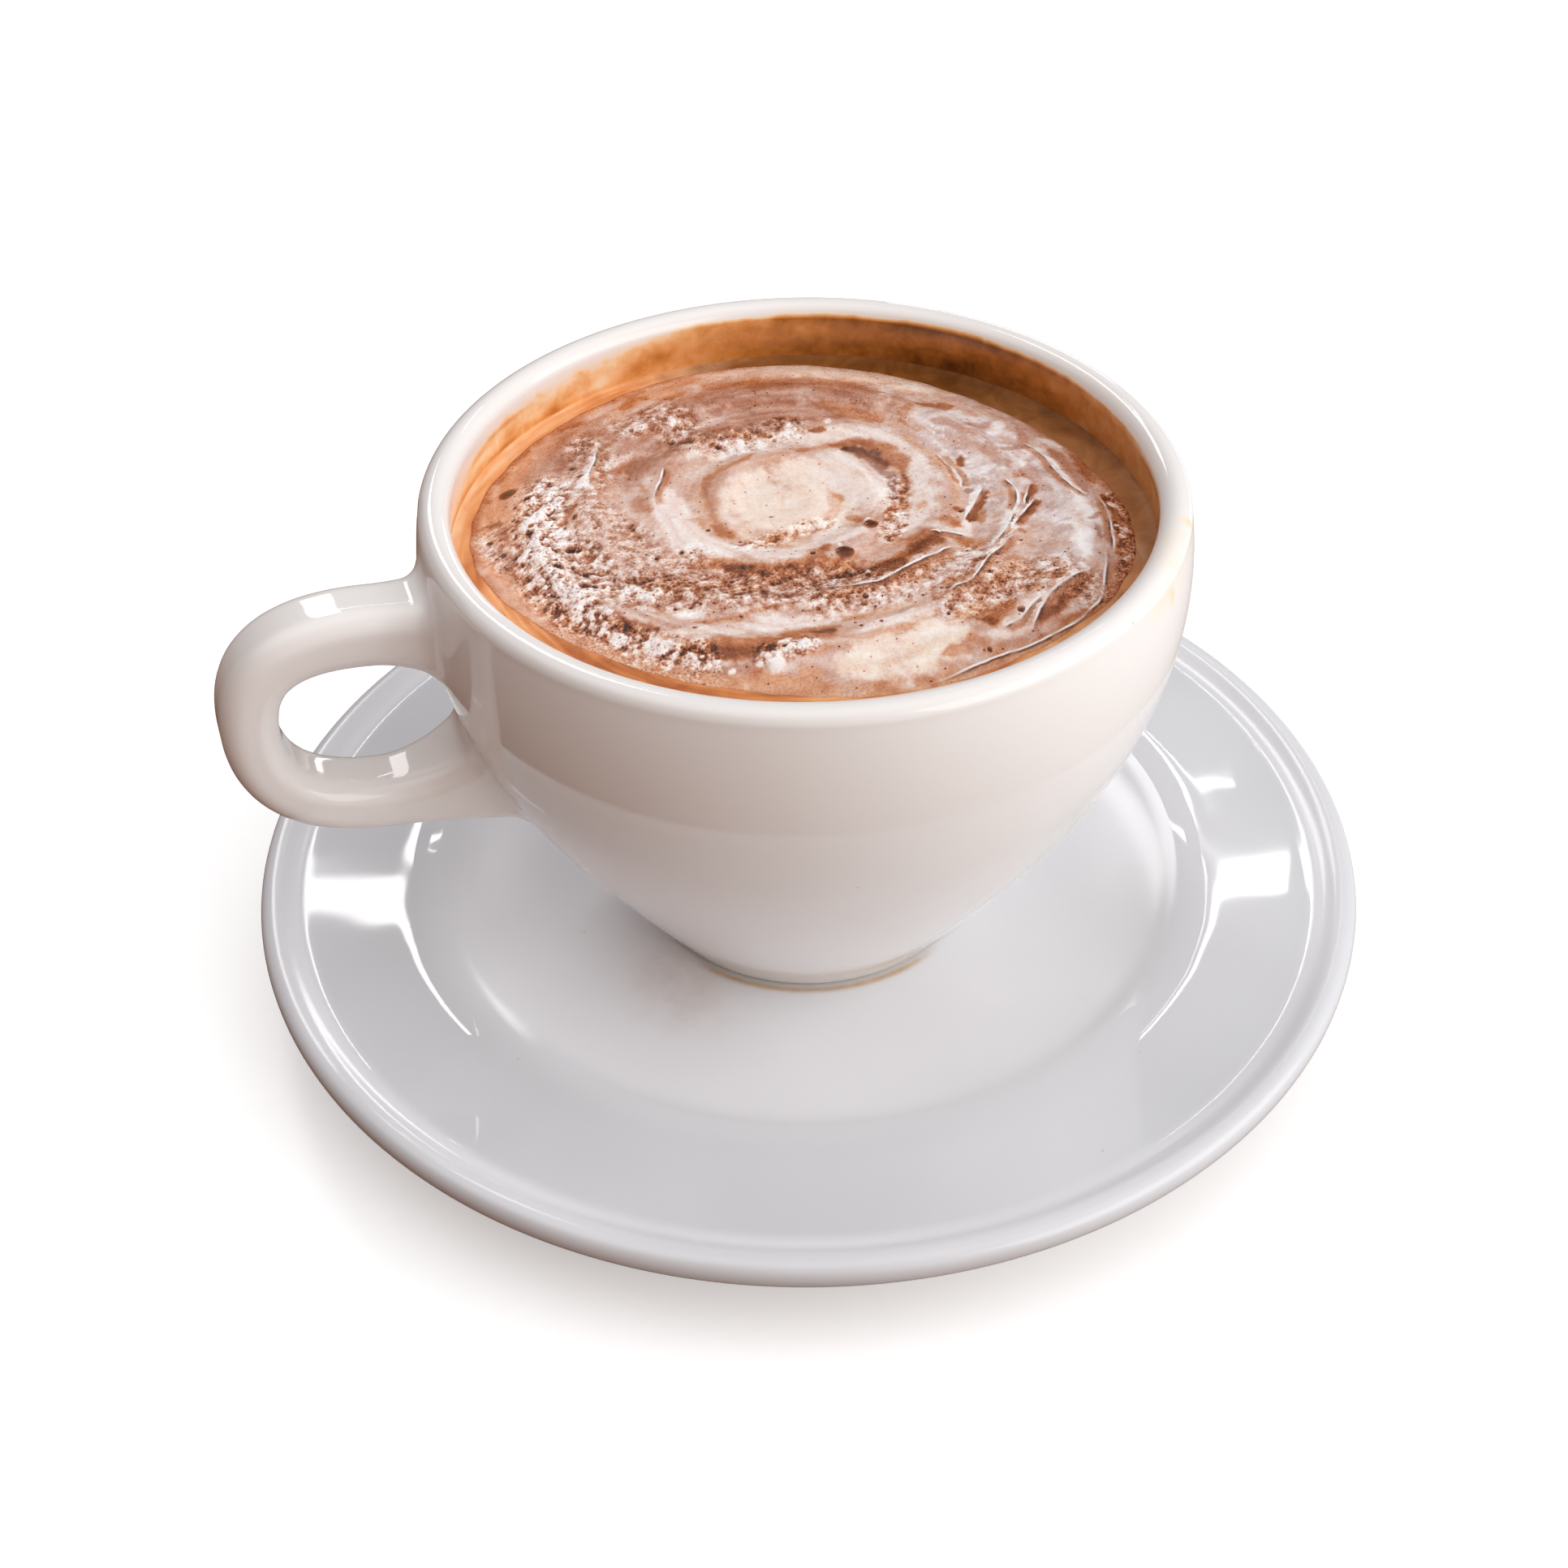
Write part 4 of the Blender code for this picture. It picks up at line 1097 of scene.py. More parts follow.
# %% Foam ring streaks
RING_STREAKS = (
    (MILK, 2.0, 0.9, ((-6, 18.5), (0, 19.2), (6, 19), (12, 18.3), (16, 16), (18, 11), (17.8, 6),
                      (16.8, 1.5), (14.5, -2.5), (11.5, -5))),
    (TAN, 2.0, 0.6, ((2, 16.6), (-3, 15.6), (-7.4, 13.4), (-10, 9.6), (-10.8, 5), (-9.6, 1), (-6, -1.6),
                     (-1, -2.6))),
    (RUST, 0.7, 0.65, ((-1, 17.6), (-3, 16.2), (-6, 15.5), (-8.3, 13.6), (-9.6, 11), (-10.2, 8),
                       (-10.3, 5.5), (-10, 3))),
    (SMOKE, 0.9, 0.35, ((-6, 14), (-8, 12), (-9.3, 9), (-9.8, 6))),
    (RUST, 1.1, 0.9, ((-10.8, 3.2), (-10, 1.8), (-9.4, 0.4))),
    (RUST, 0.8, 0.55, ((4.5, 15.8), (7, 16.3), (9.5, 16.5))),
    (RUST, 1.3, 0.95, ((9.5, 16.3), (12.5, 15.5), (14.8, 13.5), (16, 11), (16.3, 8.5), (15.8, 7))),
    (DARK, 1.15, 0.9, ((10.8, 15), (12.2, 13.6), (13.6, 12), (14.2, 10.3), (14.1, 9))),
    (SMOKE, 0.9, 0.8, ((10.8, 14.3), (12, 12.6), (13, 10.8), (13.4, 8.6), (14, 7), (13.6, 5))),
    (SMOKE, 0.6, 0.7, ((14, 6.5), (13.3, 4.5), (12.9, 2.6), (12.4, 1.2))),
    (BROWN, 0.55, 0.85, ((15.6, 6.4), (15.2, 4.6), (14.3, 2.8), (13.5, 1.2), (13.1, -0.2))),
    (RUST, 0.6, 0.8, ((13.2, -0.1), (12, -0.8), (10.9, -1.5), (10, -2.6))),
    (TAN, 1.0, 0.7, ((15.5, -0.8), (14.5, -1.6))),
    (TAN, 1.0, 0.6, ((5.6, 6), (5.6, 4.2), (4.8, 2.4), (3.6, 1), (3, 0))),
    (RUST, 0.6, 0.5, ((5.7, 5.2), (6.2, 4.2), (6, 3.4))),
    (RUST, 0.65, 0.75, ((5.6, -0.2), (6.1, -1.3), (6.4, -2.3))),
    (TAN, 0.9, 0.8, ((-7.5, -2.2), (-6, -2.9), (-4.5, -3.8), (-3, -4.6), (-0.5, -4.2))),
    (RUST, 0.7, 0.6, ((-6, -1.6), (-4.4, -1.8), (-3.2, -1.2))),
    (MILK, 1.9, 0.95, ((-13.5, -2.4), (-10.5, -2.8), (-8, -3.9), (-5.5, -5.8), (-3, -6.2), (0, -4.9),
                       (3, -4.2), (6.5, -4.6))),
    (MILK, 1.2, 0.8, ((-16.5, 9), (-17, 5), (-16, 1), (-14, -2))),
    (RUST, 1.0, 0.6, ((-18, 12.5), (-18.3, 10.5), (-17.6, 8.6))),
    (RUST, 0.8, 0.55, ((-19.6, 8), (-20.4, 5.8), (-20, 3.4))),
    (RUST, 1.4, 0.85, ((-16.5, -4), (-13.5, -4.9), (-11, -6), (-9.3, -7.4), (-6.5, -8.6), (-3, -8.6),
                       (-0.6, -7.4), (0.8, -5.8))),
    (BROWN, 1.0, 0.85, ((-12.5, -5.9), (-10, -7.4), (-7, -9), (-3.5, -9.2), (-0.8, -8.4))),
    (RUST, 2.2, 0.95, ((-0.6, -9), (2, -10.6), (4.5, -11.6), (7.5, -11.4), (10, -10.6))),
    (BROWN, 1.5, 0.95, ((0, -11.6), (3, -12.8), (5.5, -12.8), (8.6, -12))),
    (RUST, 2.0, 0.95, ((10.5, -10.3), (12.2, -8.6), (13.8, -7.6), (15, -7.4))),
    (BROWN, 1.5, 0.9, ((10.2, -11), (11.8, -9.8), (13.4, -9.4), (14.4, -8.4))),
    (BEIGE, 0.9, 0.8, ((5, -9.8), (7, -10.2), (8.8, -9), (9.6, -7.6))),
    (RUST, 0.8, 0.7, ((8.4, -5.4), (9.2, -6.8), (10.2, -7.2))),
    (RUST, 1.0, 0.8, ((15.8, -4.8), (16.8, -5.6), (17.4, -7), (17.9, -8))),
    (MILK, 0.9, 0.7, ((13, -5), (14.6, -6.2), (16, -8), (18.4, -9))),
    (RUST, 1.1, 0.7, ((16.5, -9.6), (18, -10.6), (19.4, -11.6))),
    (TAN, 1.0, 0.75, ((19.2, 15), (19.6, 12), (20.6, 9), (21, 6), (20.9, 3), (20.4, 0), (19.6, -2.6))),
    (RUST, 0.4, 0.8, ((21.2, 9.4), (21.6, 6.8), (21.4, 4), (21.6, 2))),
)

# %% Foam streaks on the left
LEFT_STREAKS = (
    (RUST, 1.0, 0.9, ((-36.3, 5.5), (-36.2, 3), (-35.6, 1), (-35, -1.4), (-34, -4), (-32.8, -7))),
    (CREMA, 1.3, 0.95, ((-39.4, 10), (-38.6, 5), (-37, 0), (-35.6, -5), (-33.4, -10), (-30.4, -15.4),
                        (-27, -20), (-22.6, -24.4), (-16, -28.6))),
    (RUST, 0.7, 0.8, ((-34, -4.6), (-33, -7.6), (-31.8, -10.8), (-29.6, -15), (-27, -18.8), (-24, -22),
                      (-20, -24.8))),
    (MILK, 1.0, 0.6, ((-39, 16), (-39, 12.5), (-38.4, 9.5), (-37.4, 6.4))),
    (MAUVE, 1.4, 0.7, ((-37.5, 9.8), (-36.6, 6.8), (-35.4, 4.4))),
    (RUST, 0.8, 0.7, ((-38.6, 14.4), (-36, 14.2), (-34.2, 12.2), (-33.2, 11))),
    (BEIGE, 1.6, 0.7, ((-34, 17.5), (-31, 20.5), (-29, 23), (-26.5, 26))),
    (MILK_WHITE_AND_HIGHLIGHT, 1.0, 0.85, ((-19.2, 27), (-20.2, 24.5), (-21.4, 22), (-22.4, 20), (-24, 18))),
    (MILK_WHITE_AND_HIGHLIGHT, 1.3, 0.9, ((-21.6, 20.4), (-22.8, 18.6), (-24.3, 17.4))),
    (BEIGE, 0.8, 0.7, ((-25, 16.4), (-22.6, 15.8), (-21, 16.8))),
    (MILK, 1.1, 0.7, ((-20, 20), (-17.6, 21.6), (-15.5, 22.5), (-13, 22.4))),
    (RUST, 0.55, 0.8, ((-20.6, 18.8), (-20.9, 17.6))),
    (RUST, 0.6, 0.6, ((-19.2, 19), (-18.2, 19.8), (-17.6, 20.6))),
    (MILK_WHITE_AND_HIGHLIGHT, 1.0, 0.95, ((-28.4, 17), (-28.2, 15.2), (-29.4, 14), (-30.6, 12.8), (-32, 11.6), (-33, 10.2))),
    (MILK_WHITE_AND_HIGHLIGHT, 0.8, 0.9, ((-31.2, 10.4), (-29.6, 9.4), (-29, 8), (-29.4, 6.4), (-30.2, 5))),
    (MILK_WHITE_AND_HIGHLIGHT, 1.3, 0.95, ((-33, 7.2), (-33.4, 5), (-32.2, 3.4), (-33.2, 0.8), (-33, -1.6), (-32.4, -4),
                        (-31, -6.2), (-29.4, -7.4))),
    (MILK, 1.4, 0.7, ((-30.8, -4.4), (-28.6, -5.6), (-27.4, -7.4))),
    (RUST, 0.7, 0.75, ((-29.2, 10.4), (-28.2, 10.2), (-27.6, 11.6), (-26.4, 13), (-25.4, 14.2))),
    (BEIGE, 1.6, 0.6, ((-27, 10), (-26, 6), (-25.4, 2), (-25, -2))),
    (RUST, 0.55, 0.75, ((-17, 15.4), (-16.7, 14.2), (-16.9, 13))),
    (RUST, 0.9, 0.75, ((-28.6, 4.8), (-27.4, 2.8), (-27, 0.6))),
    (BROWN, 0.9, 0.8, ((-24.8, -4.6), (-23.2, -5.2), (-21.6, -5.8))),
    (MILK_WHITE_AND_HIGHLIGHT, 1.0, 0.8, ((-25.4, -6.2), (-24, -7.2), (-23.6, -8.6))),
    (BEIGE, 1.3, 0.85, ((-28.4, -8.6), (-26, -10.6), (-23.4, -12), (-20.6, -13.2), (-17, -14.4),
                        (-12, -14.8), (-7, -15))),
    (MILK_WHITE_AND_HIGHLIGHT, 0.8, 0.6, ((-20.6, -13), (-19, -13.8), (-17.2, -14))),
    (BROWN, 0.95, 0.9, ((-28.8, -10.8), (-27.8, -12), (-26.6, -12.8), (-25.2, -14.2), (-23.6, -15.4))),
    (RUST, 0.6, 0.8, ((-24.6, -16.4), (-23.4, -17), (-22.6, -17.2))),
    (MILK_WHITE_AND_HIGHLIGHT, 1.1, 0.9, ((-27.6, -17.4), (-26, -18), (-24.4, -17.8), (-23, -18.4))),
    (MILK, 1.5, 0.8, ((-30.6, -9.4), (-30.2, -12), (-29, -14.4), (-28, -17), (-25.4, -20), (-22.4, -22))),
    (BEIGE, 0.9, 0.8, ((-23, -15), (-21, -16), (-18.6, -16.6), (-15, -16.8))),
    (RUST, 0.5, 0.7, ((-19, -15.4), (-15, -15.9), (-11, -16), (-7.6, -15.8))),
    (MILK, 1.7, 0.95, ((-21.6, -17.4), (-18, -17.6), (-14, -18), (-10, -18.8), (-6.6, -19.6), (-3.4, -20))),
    (RUST, 1.7, 0.95, ((-21.4, -20), (-18.4, -21), (-15.2, -22), (-12, -22.6), (-8.4, -22.2),
                       (-5.4, -22.3), (-3.8, -21.8))),
    (BROWN, 1.1, 0.85, ((-20.6, -20.8), (-17.6, -22), (-14.4, -23), (-12, -23.2))),
    (BROWN, 0.8, 0.7, ((-6.6, -22), (-5, -22.4), (-4, -22.6))),
    (MAUVE, 1.0, 0.7, ((-21.4, -22), (-18.6, -23.6), (-16, -24.6), (-13, -25.2))),
    (MILK, 0.8, 0.7, ((-23.6, -21.4), (-21.6, -22.8), (-19.4, -23.8))),
    (MILK, 1.1, 0.8, ((-10.8, -23.2), (-8.8, -23.8), (-6.6, -24.2))),
    (RUST, 0.7, 0.6, ((-13.4, -24.4), (-14.4, -25.4), (-15, -26))),
    (TAN, 1.0, 0.7, ((-10.6, -25.8), (-8, -26), (-5.8, -25.6))),
    (CREAM, 1.0, 0.5, ((-17.4, -26.4), (-17, -28.4), (-15.6, -29.4))),
)

# %% Foam streaks on the right
# The thin white lines here, half a millimetre wide or less, are painted highlights: the light mirrored along
# wet ridges.
RIGHT_STREAKS = (
    (BEIGE, 1.5, 0.6, ((23, 12.4), (25.6, 10.8), (27, 8.4))),
    (MAUVE, 0.8, 0.7, ((28, 15.4), (29.6, 14.6), (31, 15.2))),
    (MAUVE, 0.9, 0.75, ((30, 7.2), (31.6, 7.8), (33, 8.8), (34, 10.6), (34.2, 13))),
    (MILK_WHITE_AND_HIGHLIGHT, 1.1, 0.6, ((30, 12), (31.6, 13.4), (32.6, 15))),
    (MAUVE, 1.4, 0.7, ((24, 17), (26.4, 14.6), (27.6, 12))),
    (MAUVE, 1.3, 0.6, ((28.6, 9.6), (27.8, 6.4), (28.6, 3.4))),
    (MAUVE, 1.2, 0.6, ((31.6, 3.4), (31, 0), (31.8, -3))),
    (BEIGE, 1.6, 0.6, ((26.4, -9.4), (28.4, -11.4), (27.4, -13.6), (28.4, -16))),
    (MAUVE, 1.5, 0.6, ((34.6, 14.6), (36.4, 11.8), (37.4, 9.8))),
    (MILK_WHITE_AND_HIGHLIGHT, 1.0, 0.65, ((22.4, 10), (22.8, 7), (23, 4.4), (24.6, 3.8), (27, 4.4))),
    (MILK_WHITE_AND_HIGHLIGHT, 0.9, 0.6, ((30.6, 3.4), (31.6, 5.4), (33.2, 7))),
    (MILK_WHITE_AND_HIGHLIGHT, 1.0, 0.6, ((35.6, 9.4), (37, 9), (38.2, 8))),
    (MAUVE, 1.5, 0.9, ((36.2, 6.4), (36.8, 3), (36.8, -0.6), (36.4, -4))),
    (BROWN, 1.0, 0.6, ((38.6, 5), (38.8, 1.6), (38.4, -2))),
    (MILK_WHITE_AND_HIGHLIGHT, 0.5, 0.7, ((34.6, 4.6), (34.9, 2.2), (34.6, -0.6), (35, -3), (35.8, -4.8))),
    (SMOKE, 0.5, 0.8, ((22, 0.8), (22.1, -0.2))),
    (BROWN, 0.7, 0.85, ((23.4, 6), (23.9, 7), (24.3, 7.8))),
    (RUST, 0.8, 0.6, ((28.4, 0.8), (29.4, 1.3), (30.2, 1))),
    (BROWN, 0.75, 0.9, ((19.4, -6.4), (20.6, -5), (21.7, -3.7), (23, -2.3), (24.1, -1))),
    (MILK_WHITE_AND_HIGHLIGHT, 0.45, 0.9, ((19.4, -4.9), (20.4, -3.7), (21.6, -2), (22.8, -0.6), (23.8, 0.8))),
    (BROWN, 0.6, 0.8, ((18.9, -3.2), (19.3, -4.2))),
    (MILK_WHITE_AND_HIGHLIGHT, 0.9, 0.8, ((17.4, -8.8), (18.6, -7.8), (19, -6.4))),
    (BEIGE, 1.4, 0.7, ((21.4, -5), (22.4, -7), (21.6, -9.6))),
    (RUST, 0.6, 0.6, ((20.8, -7), (21.4, -5.4), (22.4, -4.4))),
    (TAN, 0.9, 0.6, ((24, -1.6), (25.6, -2.6), (27, -3.4))),
    (BROWN, 0.75, 0.9, ((24.4, -9.2), (25.8, -8.2), (27.2, -7), (28.2, -5.8), (29.4, -4.8))),
    (BROWN, 0.8, 0.8, ((27.8, -5), (28.6, -3.8), (29.3, -2.6), (30.1, -1.3))),
    (MILK_WHITE_AND_HIGHLIGHT, 0.5, 0.8, ((26.6, -5.6), (27.1, -3.8), (27.4, -1.8))),
    (MILK_WHITE_AND_HIGHLIGHT, 1.0, 0.8, ((20, -12.2), (21.8, -11), (23.4, -9.4), (24.8, -7.4), (25.8, -5.6))),
    (RUST, 0.6, 0.7, ((24.2, -10.6), (25, -11.2))),
    (BEIGE, 1.2, 0.5, ((26, -12.5), (27.4, -14), (29.6, -15.6))),
    (MILK_WHITE_AND_HIGHLIGHT, 1.5, 0.8, ((34.4, -4.6), (34.2, -8), (32.8, -11.4), (31.6, -14.6), (29.8, -18))),
    (SMOKE, 0.45, 0.7, ((36.2, -9.2), (35, -9.8), (34, -10.6))),
    (SMOKE, 0.5, 0.7, ((34.6, -12), (33.9, -12.9), (33.6, -14.4))),
    (MILK_WHITE_AND_HIGHLIGHT, 0.5, 0.7, ((30.4, -10.6), (31.4, -12), (31, -14))),
    (BROWN, 1.0, 0.9, ((38.4, -5), (38.2, -9), (37.4, -12), (36.2, -16), (34.4, -20), (32.2, -23.4))),
    (RUST, 0.8, 0.8, ((31.6, -24.6), (28.4, -28), (24, -30.8), (18, -32.8), (10, -34.4))),
    (MILK_WHITE_AND_HIGHLIGHT, 0.8, 0.75, ((16, -12.4), (18, -13.6), (20, -13.2), (21.4, -12.2))),
    (BROWN, 0.6, 0.85, ((16.2, -14.4), (17.4, -14.8), (18.4, -15))),
    (RUST, 1.2, 0.8, ((12.4, -16.8), (14, -17.8), (15.6, -17.2))),
    (BEIGE, 1.0, 0.6, ((9.4, -15.4), (12, -14.6), (14.6, -13.8))),
    (MILK, 1.2, 0.6, ((2.4, -17), (5.4, -17.6), (8, -17))),
    (BROWN, 0.5, 0.6, ((-1.2, -16.4), (0.2, -17.4), (1.8, -17))),
    (RUST, 0.7, 0.6, ((4.8, -16.6), (5.6, -17.4))),
    (TAN, 1.2, 0.75, ((-2, -20), (1, -20.8), (4.4, -20.2), (7, -19.8))),
    (MILK, 1.0, 0.8, ((-1, -24), (2, -23.4), (5.6, -22.6), (8.4, -22.4))),
    (TAN, 0.8, 0.6, ((-3, -24.8), (1, -24.8), (5, -24.6))),
    (CREMA, 1.1, 0.8, ((10.4, -24.4), (12.4, -24), (14.4, -23.6))),
    (RUST, 1.5, 0.9, ((12.6, -25), (14.2, -26.4), (16, -25), (17.6, -24))),
    (BROWN, 0.9, 0.8, ((13.4, -26), (14.6, -26.8))),
    (MILK, 1.0, 0.8, ((15.4, -27.4), (17.4, -27), (19.4, -25.4), (21.4, -24), (23, -23.2))),
    (RUST, 0.9, 0.8, ((20.8, -20.2), (22.6, -20), (24.2, -20.8), (24.6, -21.8))),
    (RUST, 0.9, 0.6, ((17.6, -21.4), (20, -22), (22, -22.6))),
    (TAN, 1.0, 0.6, ((18.4, -18), (20.4, -17), (22.4, -17.6))),
    (RUST, 1.1, 0.7, ((6.6, -30.2), (9, -30), (11.2, -29.2), (12, -30.2))),
    (BROWN, 0.8, 0.85, ((20.2, -27.6), (22.2, -26.2), (25, -24), (27.4, -22.6), (29.4, -21.2))),
    (MILK, 1.0, 0.8, ((13, -28.4), (15.6, -28.8), (18.2, -28.6))),
    (MAUVE, 0.9, 0.6, ((13.6, -30), (17, -30), (19.6, -29.2))),
    (BEIGE, 1.2, 0.7, ((24, -26.6), (26.6, -25.6), (28.8, -24))),
    (BROWN, 0.6, 0.7, ((23, -27.8), (24.6, -27.4), (26.2, -26.6))),
    (MILK, 1.2, 0.8, ((-4, -33), (0, -33.4), (4, -33))),
)

# %% Foam streaks on the far side
FAR_STREAKS = (
    (RUST, 1.2, 0.8, ((-13.6, 35.4), (-11.4, 38), (-10, 37))),
    (BROWN, 1.2, 0.75, ((-23.4, 35), (-21.6, 34.6), (-19, 33.8))),
    (BEIGE, 1.0, 0.7, ((-23, 31.6), (-20.4, 33), (-17, 33.6))),
    (RUST, 1.4, 0.6, ((-20.6, 30.6), (-18, 29.6), (-16, 28.4))),
    (MILK_WHITE_AND_HIGHLIGHT, 1.3, 0.95, ((-15, 28.8), (-13.6, 28.2), (-12.6, 29.6))),
    (MILK, 0.8, 0.8, ((-14.6, 31.4), (-12.4, 31.8))),
    (MILK_WHITE_AND_HIGHLIGHT, 0.9, 0.9, ((-9.6, 31.4), (-8.8, 33), (-7.8, 34.4))),
    (MILK_WHITE_AND_HIGHLIGHT, 0.8, 0.95, ((-8.9, 28), (-8.5, 29.4))),
    (MILK, 1.3, 0.45, ((-5.2, 32), (-4.6, 34), (-2.6, 37.6))),
    (MILK, 1.2, 0.4, ((1.6, 31.4), (3, 32.6))),
    (BEIGE, 1.3, 0.6, ((-4, 28.6), (-2, 26), (0, 24.4))),
    (RUST, 0.9, 0.8, ((-11.6, 24.4), (-9.8, 23.8), (-7.6, 22.8), (-4, 23.2))),
    (BROWN, 0.7, 0.8, ((-10.4, 24.6), (-9.6, 23.4))),
    (BROWN, 0.65, 0.85, ((-5.6, 21.2), (-4.8, 20.4))),
    (MILK_WHITE_AND_HIGHLIGHT, 0.6, 0.9, ((-3.6, 21), (-3, 21.8))),
    (MILK, 0.8, 0.7, ((-9.4, 19), (-7.4, 20.4), (-6.4, 21))),
    (BROWN, 1.1, 0.8, ((4.2, 23.4), (5.2, 24.4), (6.2, 23.4))),
    (MILK_WHITE_AND_HIGHLIGHT, 1.0, 0.95, ((4.9, 21.2), (6.2, 21.8))),
    (MILK_WHITE_AND_HIGHLIGHT, 0.6, 0.8, ((10.2, 21), (11, 22))),
    (BROWN, 0.8, 0.75, ((7.8, 20.2), (9.4, 19.6))),
    (RUST, 1.8, 0.7, ((12, 26), (15, 23.4), (17.6, 20.6))),
    (RUST, 1.2, 0.55, ((-4, 24.6), (0, 22), (3, 21))),
    (SMOKE, 0.9, 0.6, ((0.8, 28.8), (2.2, 28))),
    (SMOKE, 0.8, 0.5, ((-3.4, 29.4), (-1.6, 28.6))),
    (RUST, 1.5, 0.6, ((2.8, 35.6), (5, 35), (5.6, 36.4))),
    (MILK, 1.3, 0.4, ((8.6, 27.4), (10, 29.4), (11, 30.6))),
    (MILK, 1.5, 0.6, ((18.4, 22.6), (19.6, 25), (21, 27.4), (21.8, 29))),
    (BEIGE, 1.6, 0.5, ((13, 30.6), (16.4, 28.4), (19, 25))),
    (MILK, 1.2, 0.45, ((-12, 22.6), (-8.6, 25.4), (-4.6, 26.6), (0, 26))),
    (MILK, 1.4, 0.7, ((25.6, 18.4), (28, 18.6), (30.6, 17))),
    (RUST, 1.0, 0.6, ((20.4, 18), (21, 20.6), (22.6, 22))),
    (BROWN, 0.9, 0.6, ((8, 33.4), (9.4, 32.4))),
    (BROWN, 1.2, 0.6, ((24, 22), (26, 21), (28, 21))),
    (RUST, 1.5, 0.5, ((12, 32), (16, 30), (20, 26.6))),
)

# %% Foam shaded streaks
SHADED_STREAKS = (
    ((0.36, 0.45), 3.4, 0.5, ((-25, 22), (-20, 27), (-12, 31), (-3, 32.6), (7, 31.8), (14, 29), (19, 25))),
    ((0.34, 0.40), 2.4, 0.5, ((-30, 20), (-25, 28), (-17, 34))),
    ((0.36, 0.50), 2.6, 0.5, ((-18, 16), (-14, 21), (-7, 24), (1, 24.4), (8, 22))),
    ((0.40, 0.55), 2.2, 0.45, ((-36, 14), (-35.4, 4), (-33, -6), (-28.6, -15))),
)
STREAKS = BROAD_STREAKS + RING_STREAKS + LEFT_STREAKS + RIGHT_STREAKS + FAR_STREAKS + SHADED_STREAKS
print(len(STREAKS), "streaks")

# %% [markdown]
# Where the milk was folded, a thin wet edge stands up. Its bright side is a painted highlight, and
# the dark crease on its other side is painted shade over a shallow groove in the mesh. The line is
# thinner than a cell of the mesh, so each vertex keeps its distance to the fold instead, and the
# material paints the gleam and the crease from that distance. The dry froth has burst bubbles, which
# are pits in the mesh, and a few whole ones, which are dark domes.

# %% Foam folds
FOLD_REACH = 1.5
FOLDS = (
    (0.40, ((-2.6, -13.6), (0, -15), (3, -15.4), (5.4, -14.9), (8, -13.8), (10, -13), (12.2, -12.2),
            (14, -11.5), (16, -10.8))),
    (0.40, ((10.4, -20.4), (12.5, -19.4), (14.2, -19), (15.6, -18), (17, -16.6), (18.3, -15.2),
            (19.6, -14.3), (21.2, -13.4), (22.2, -12.3), (24.2, -11.4))),
    (0.30, ((18.2, -29), (20, -26.6), (22, -24.6), (24, -23), (26, -21.9), (28, -20.8), (30.6, -19.6))),
    (0.35, ((3, -34), (8, -33), (11, -32.1), (14, -31.5), (17, -31), (20, -30), (24, -28.4),
            (27, -26.6), (29, -25), (30.6, -22.6), (32.2, -19.4), (34.2, -15.4))),
    (0.40, ((37.5, -5.4), (37.2, -8.6), (36.5, -11), (35.7, -13.4), (34.2, -17))),
    (0.30, ((19, -6), (20.6, -4), (22, -2.3), (24, 0.2))),
    (0.28, ((23.8, -9.8), (25.8, -7.8), (27.2, -6.4), (29.4, -4.2))),
    (0.25, ((27.2, -5.6), (28.6, -3.2), (30.2, -0.8))),
    (0.30, ((-16.4, 9.2), (-16, 11.6), (-15, 13.4), (-14, 15.2), (-12.8, 17.8))),
    (0.22, ((13.8, -7.2), (15.8, -8.2), (17.8, -9.1))),
    (0.20, ((21.6, 1.2), (22.2, 3.6), (22, 6.4), (21.6, 9.4))),
    (0.22, ((33, 9), (34.2, 5), (34.2, 1), (34.6, -3), (36.4, -6))),
    (0.22, ((15, -28), (17.4, -27.2), (19.4, -25.6), (21.4, -24.2))),
    (0.18, ((27, 0.6), (27.4, -1.8), (26.6, -4.6), (25, -7))),
    (0.20, ((19.8, -12.6), (21.8, -11), (23.6, -9.2), (25, -7.2))),
    (0.20, ((-23.2, 17), (-22.4, 19.6), (-20.8, 22.6), (-19.6, 26))),
)
print(len(FOLDS), "folds")

# %% Foam froth and wetness
# Where the foam is dry froth and where it is wet: an amount, a half width and a line.
FROTH_BANDS = (
    (1.0, 3.2, ((-28, 18), (-31, 12), (-33, 5), (-33, -2), (-32, -7), (-30, -12), (-28, -16),
                (-25, -19), (-21, -22))),
    (0.7, 3.6, ((-30, 8), (-28, 2), (-27, -4), (-23, -7))),
    (1.0, 1.8, ((40.2, -6), (40.2, -12), (38.6, -16), (36.4, -20), (34, -24))),
    (0.6, 4.5, ((-24, -6), (-18, -9), (-11, -11), (-4, -13), (1, -14))),
    (0.45, 3.5, ((-25, 12), (-22, 4), (-20, -3), (-16, -4))),
    (0.5, 3.0, ((-21, 27), (-22, 21), (-24, 16))),
    (0.5, 3.0, ((-3, -17), (5, -17), (12, -16), (18, -14))),
    (0.55, 3.5, ((12, -22), (19, -20), (25, -20), (28, -23))),
    (0.8, 1.6, ((-13, -24), (-8, -24))),
    (0.5, 3.0, ((-15, 29), (-9, 31), (-8, 24), (-3, 21), (5, 22))),
    (0.6, 1.2, ((-9, -2), (-5, -2), (0, -1), (3, -1))),
    (0.6, 1.6, ((14, 5), (13, 1), (11, -3), (9, -6))),
    (0.8, 1.6, ((38, -12), (37, -17), (34, -22))),
    (0.4, 3.0, ((-37, 12), (-36, 6))),
)
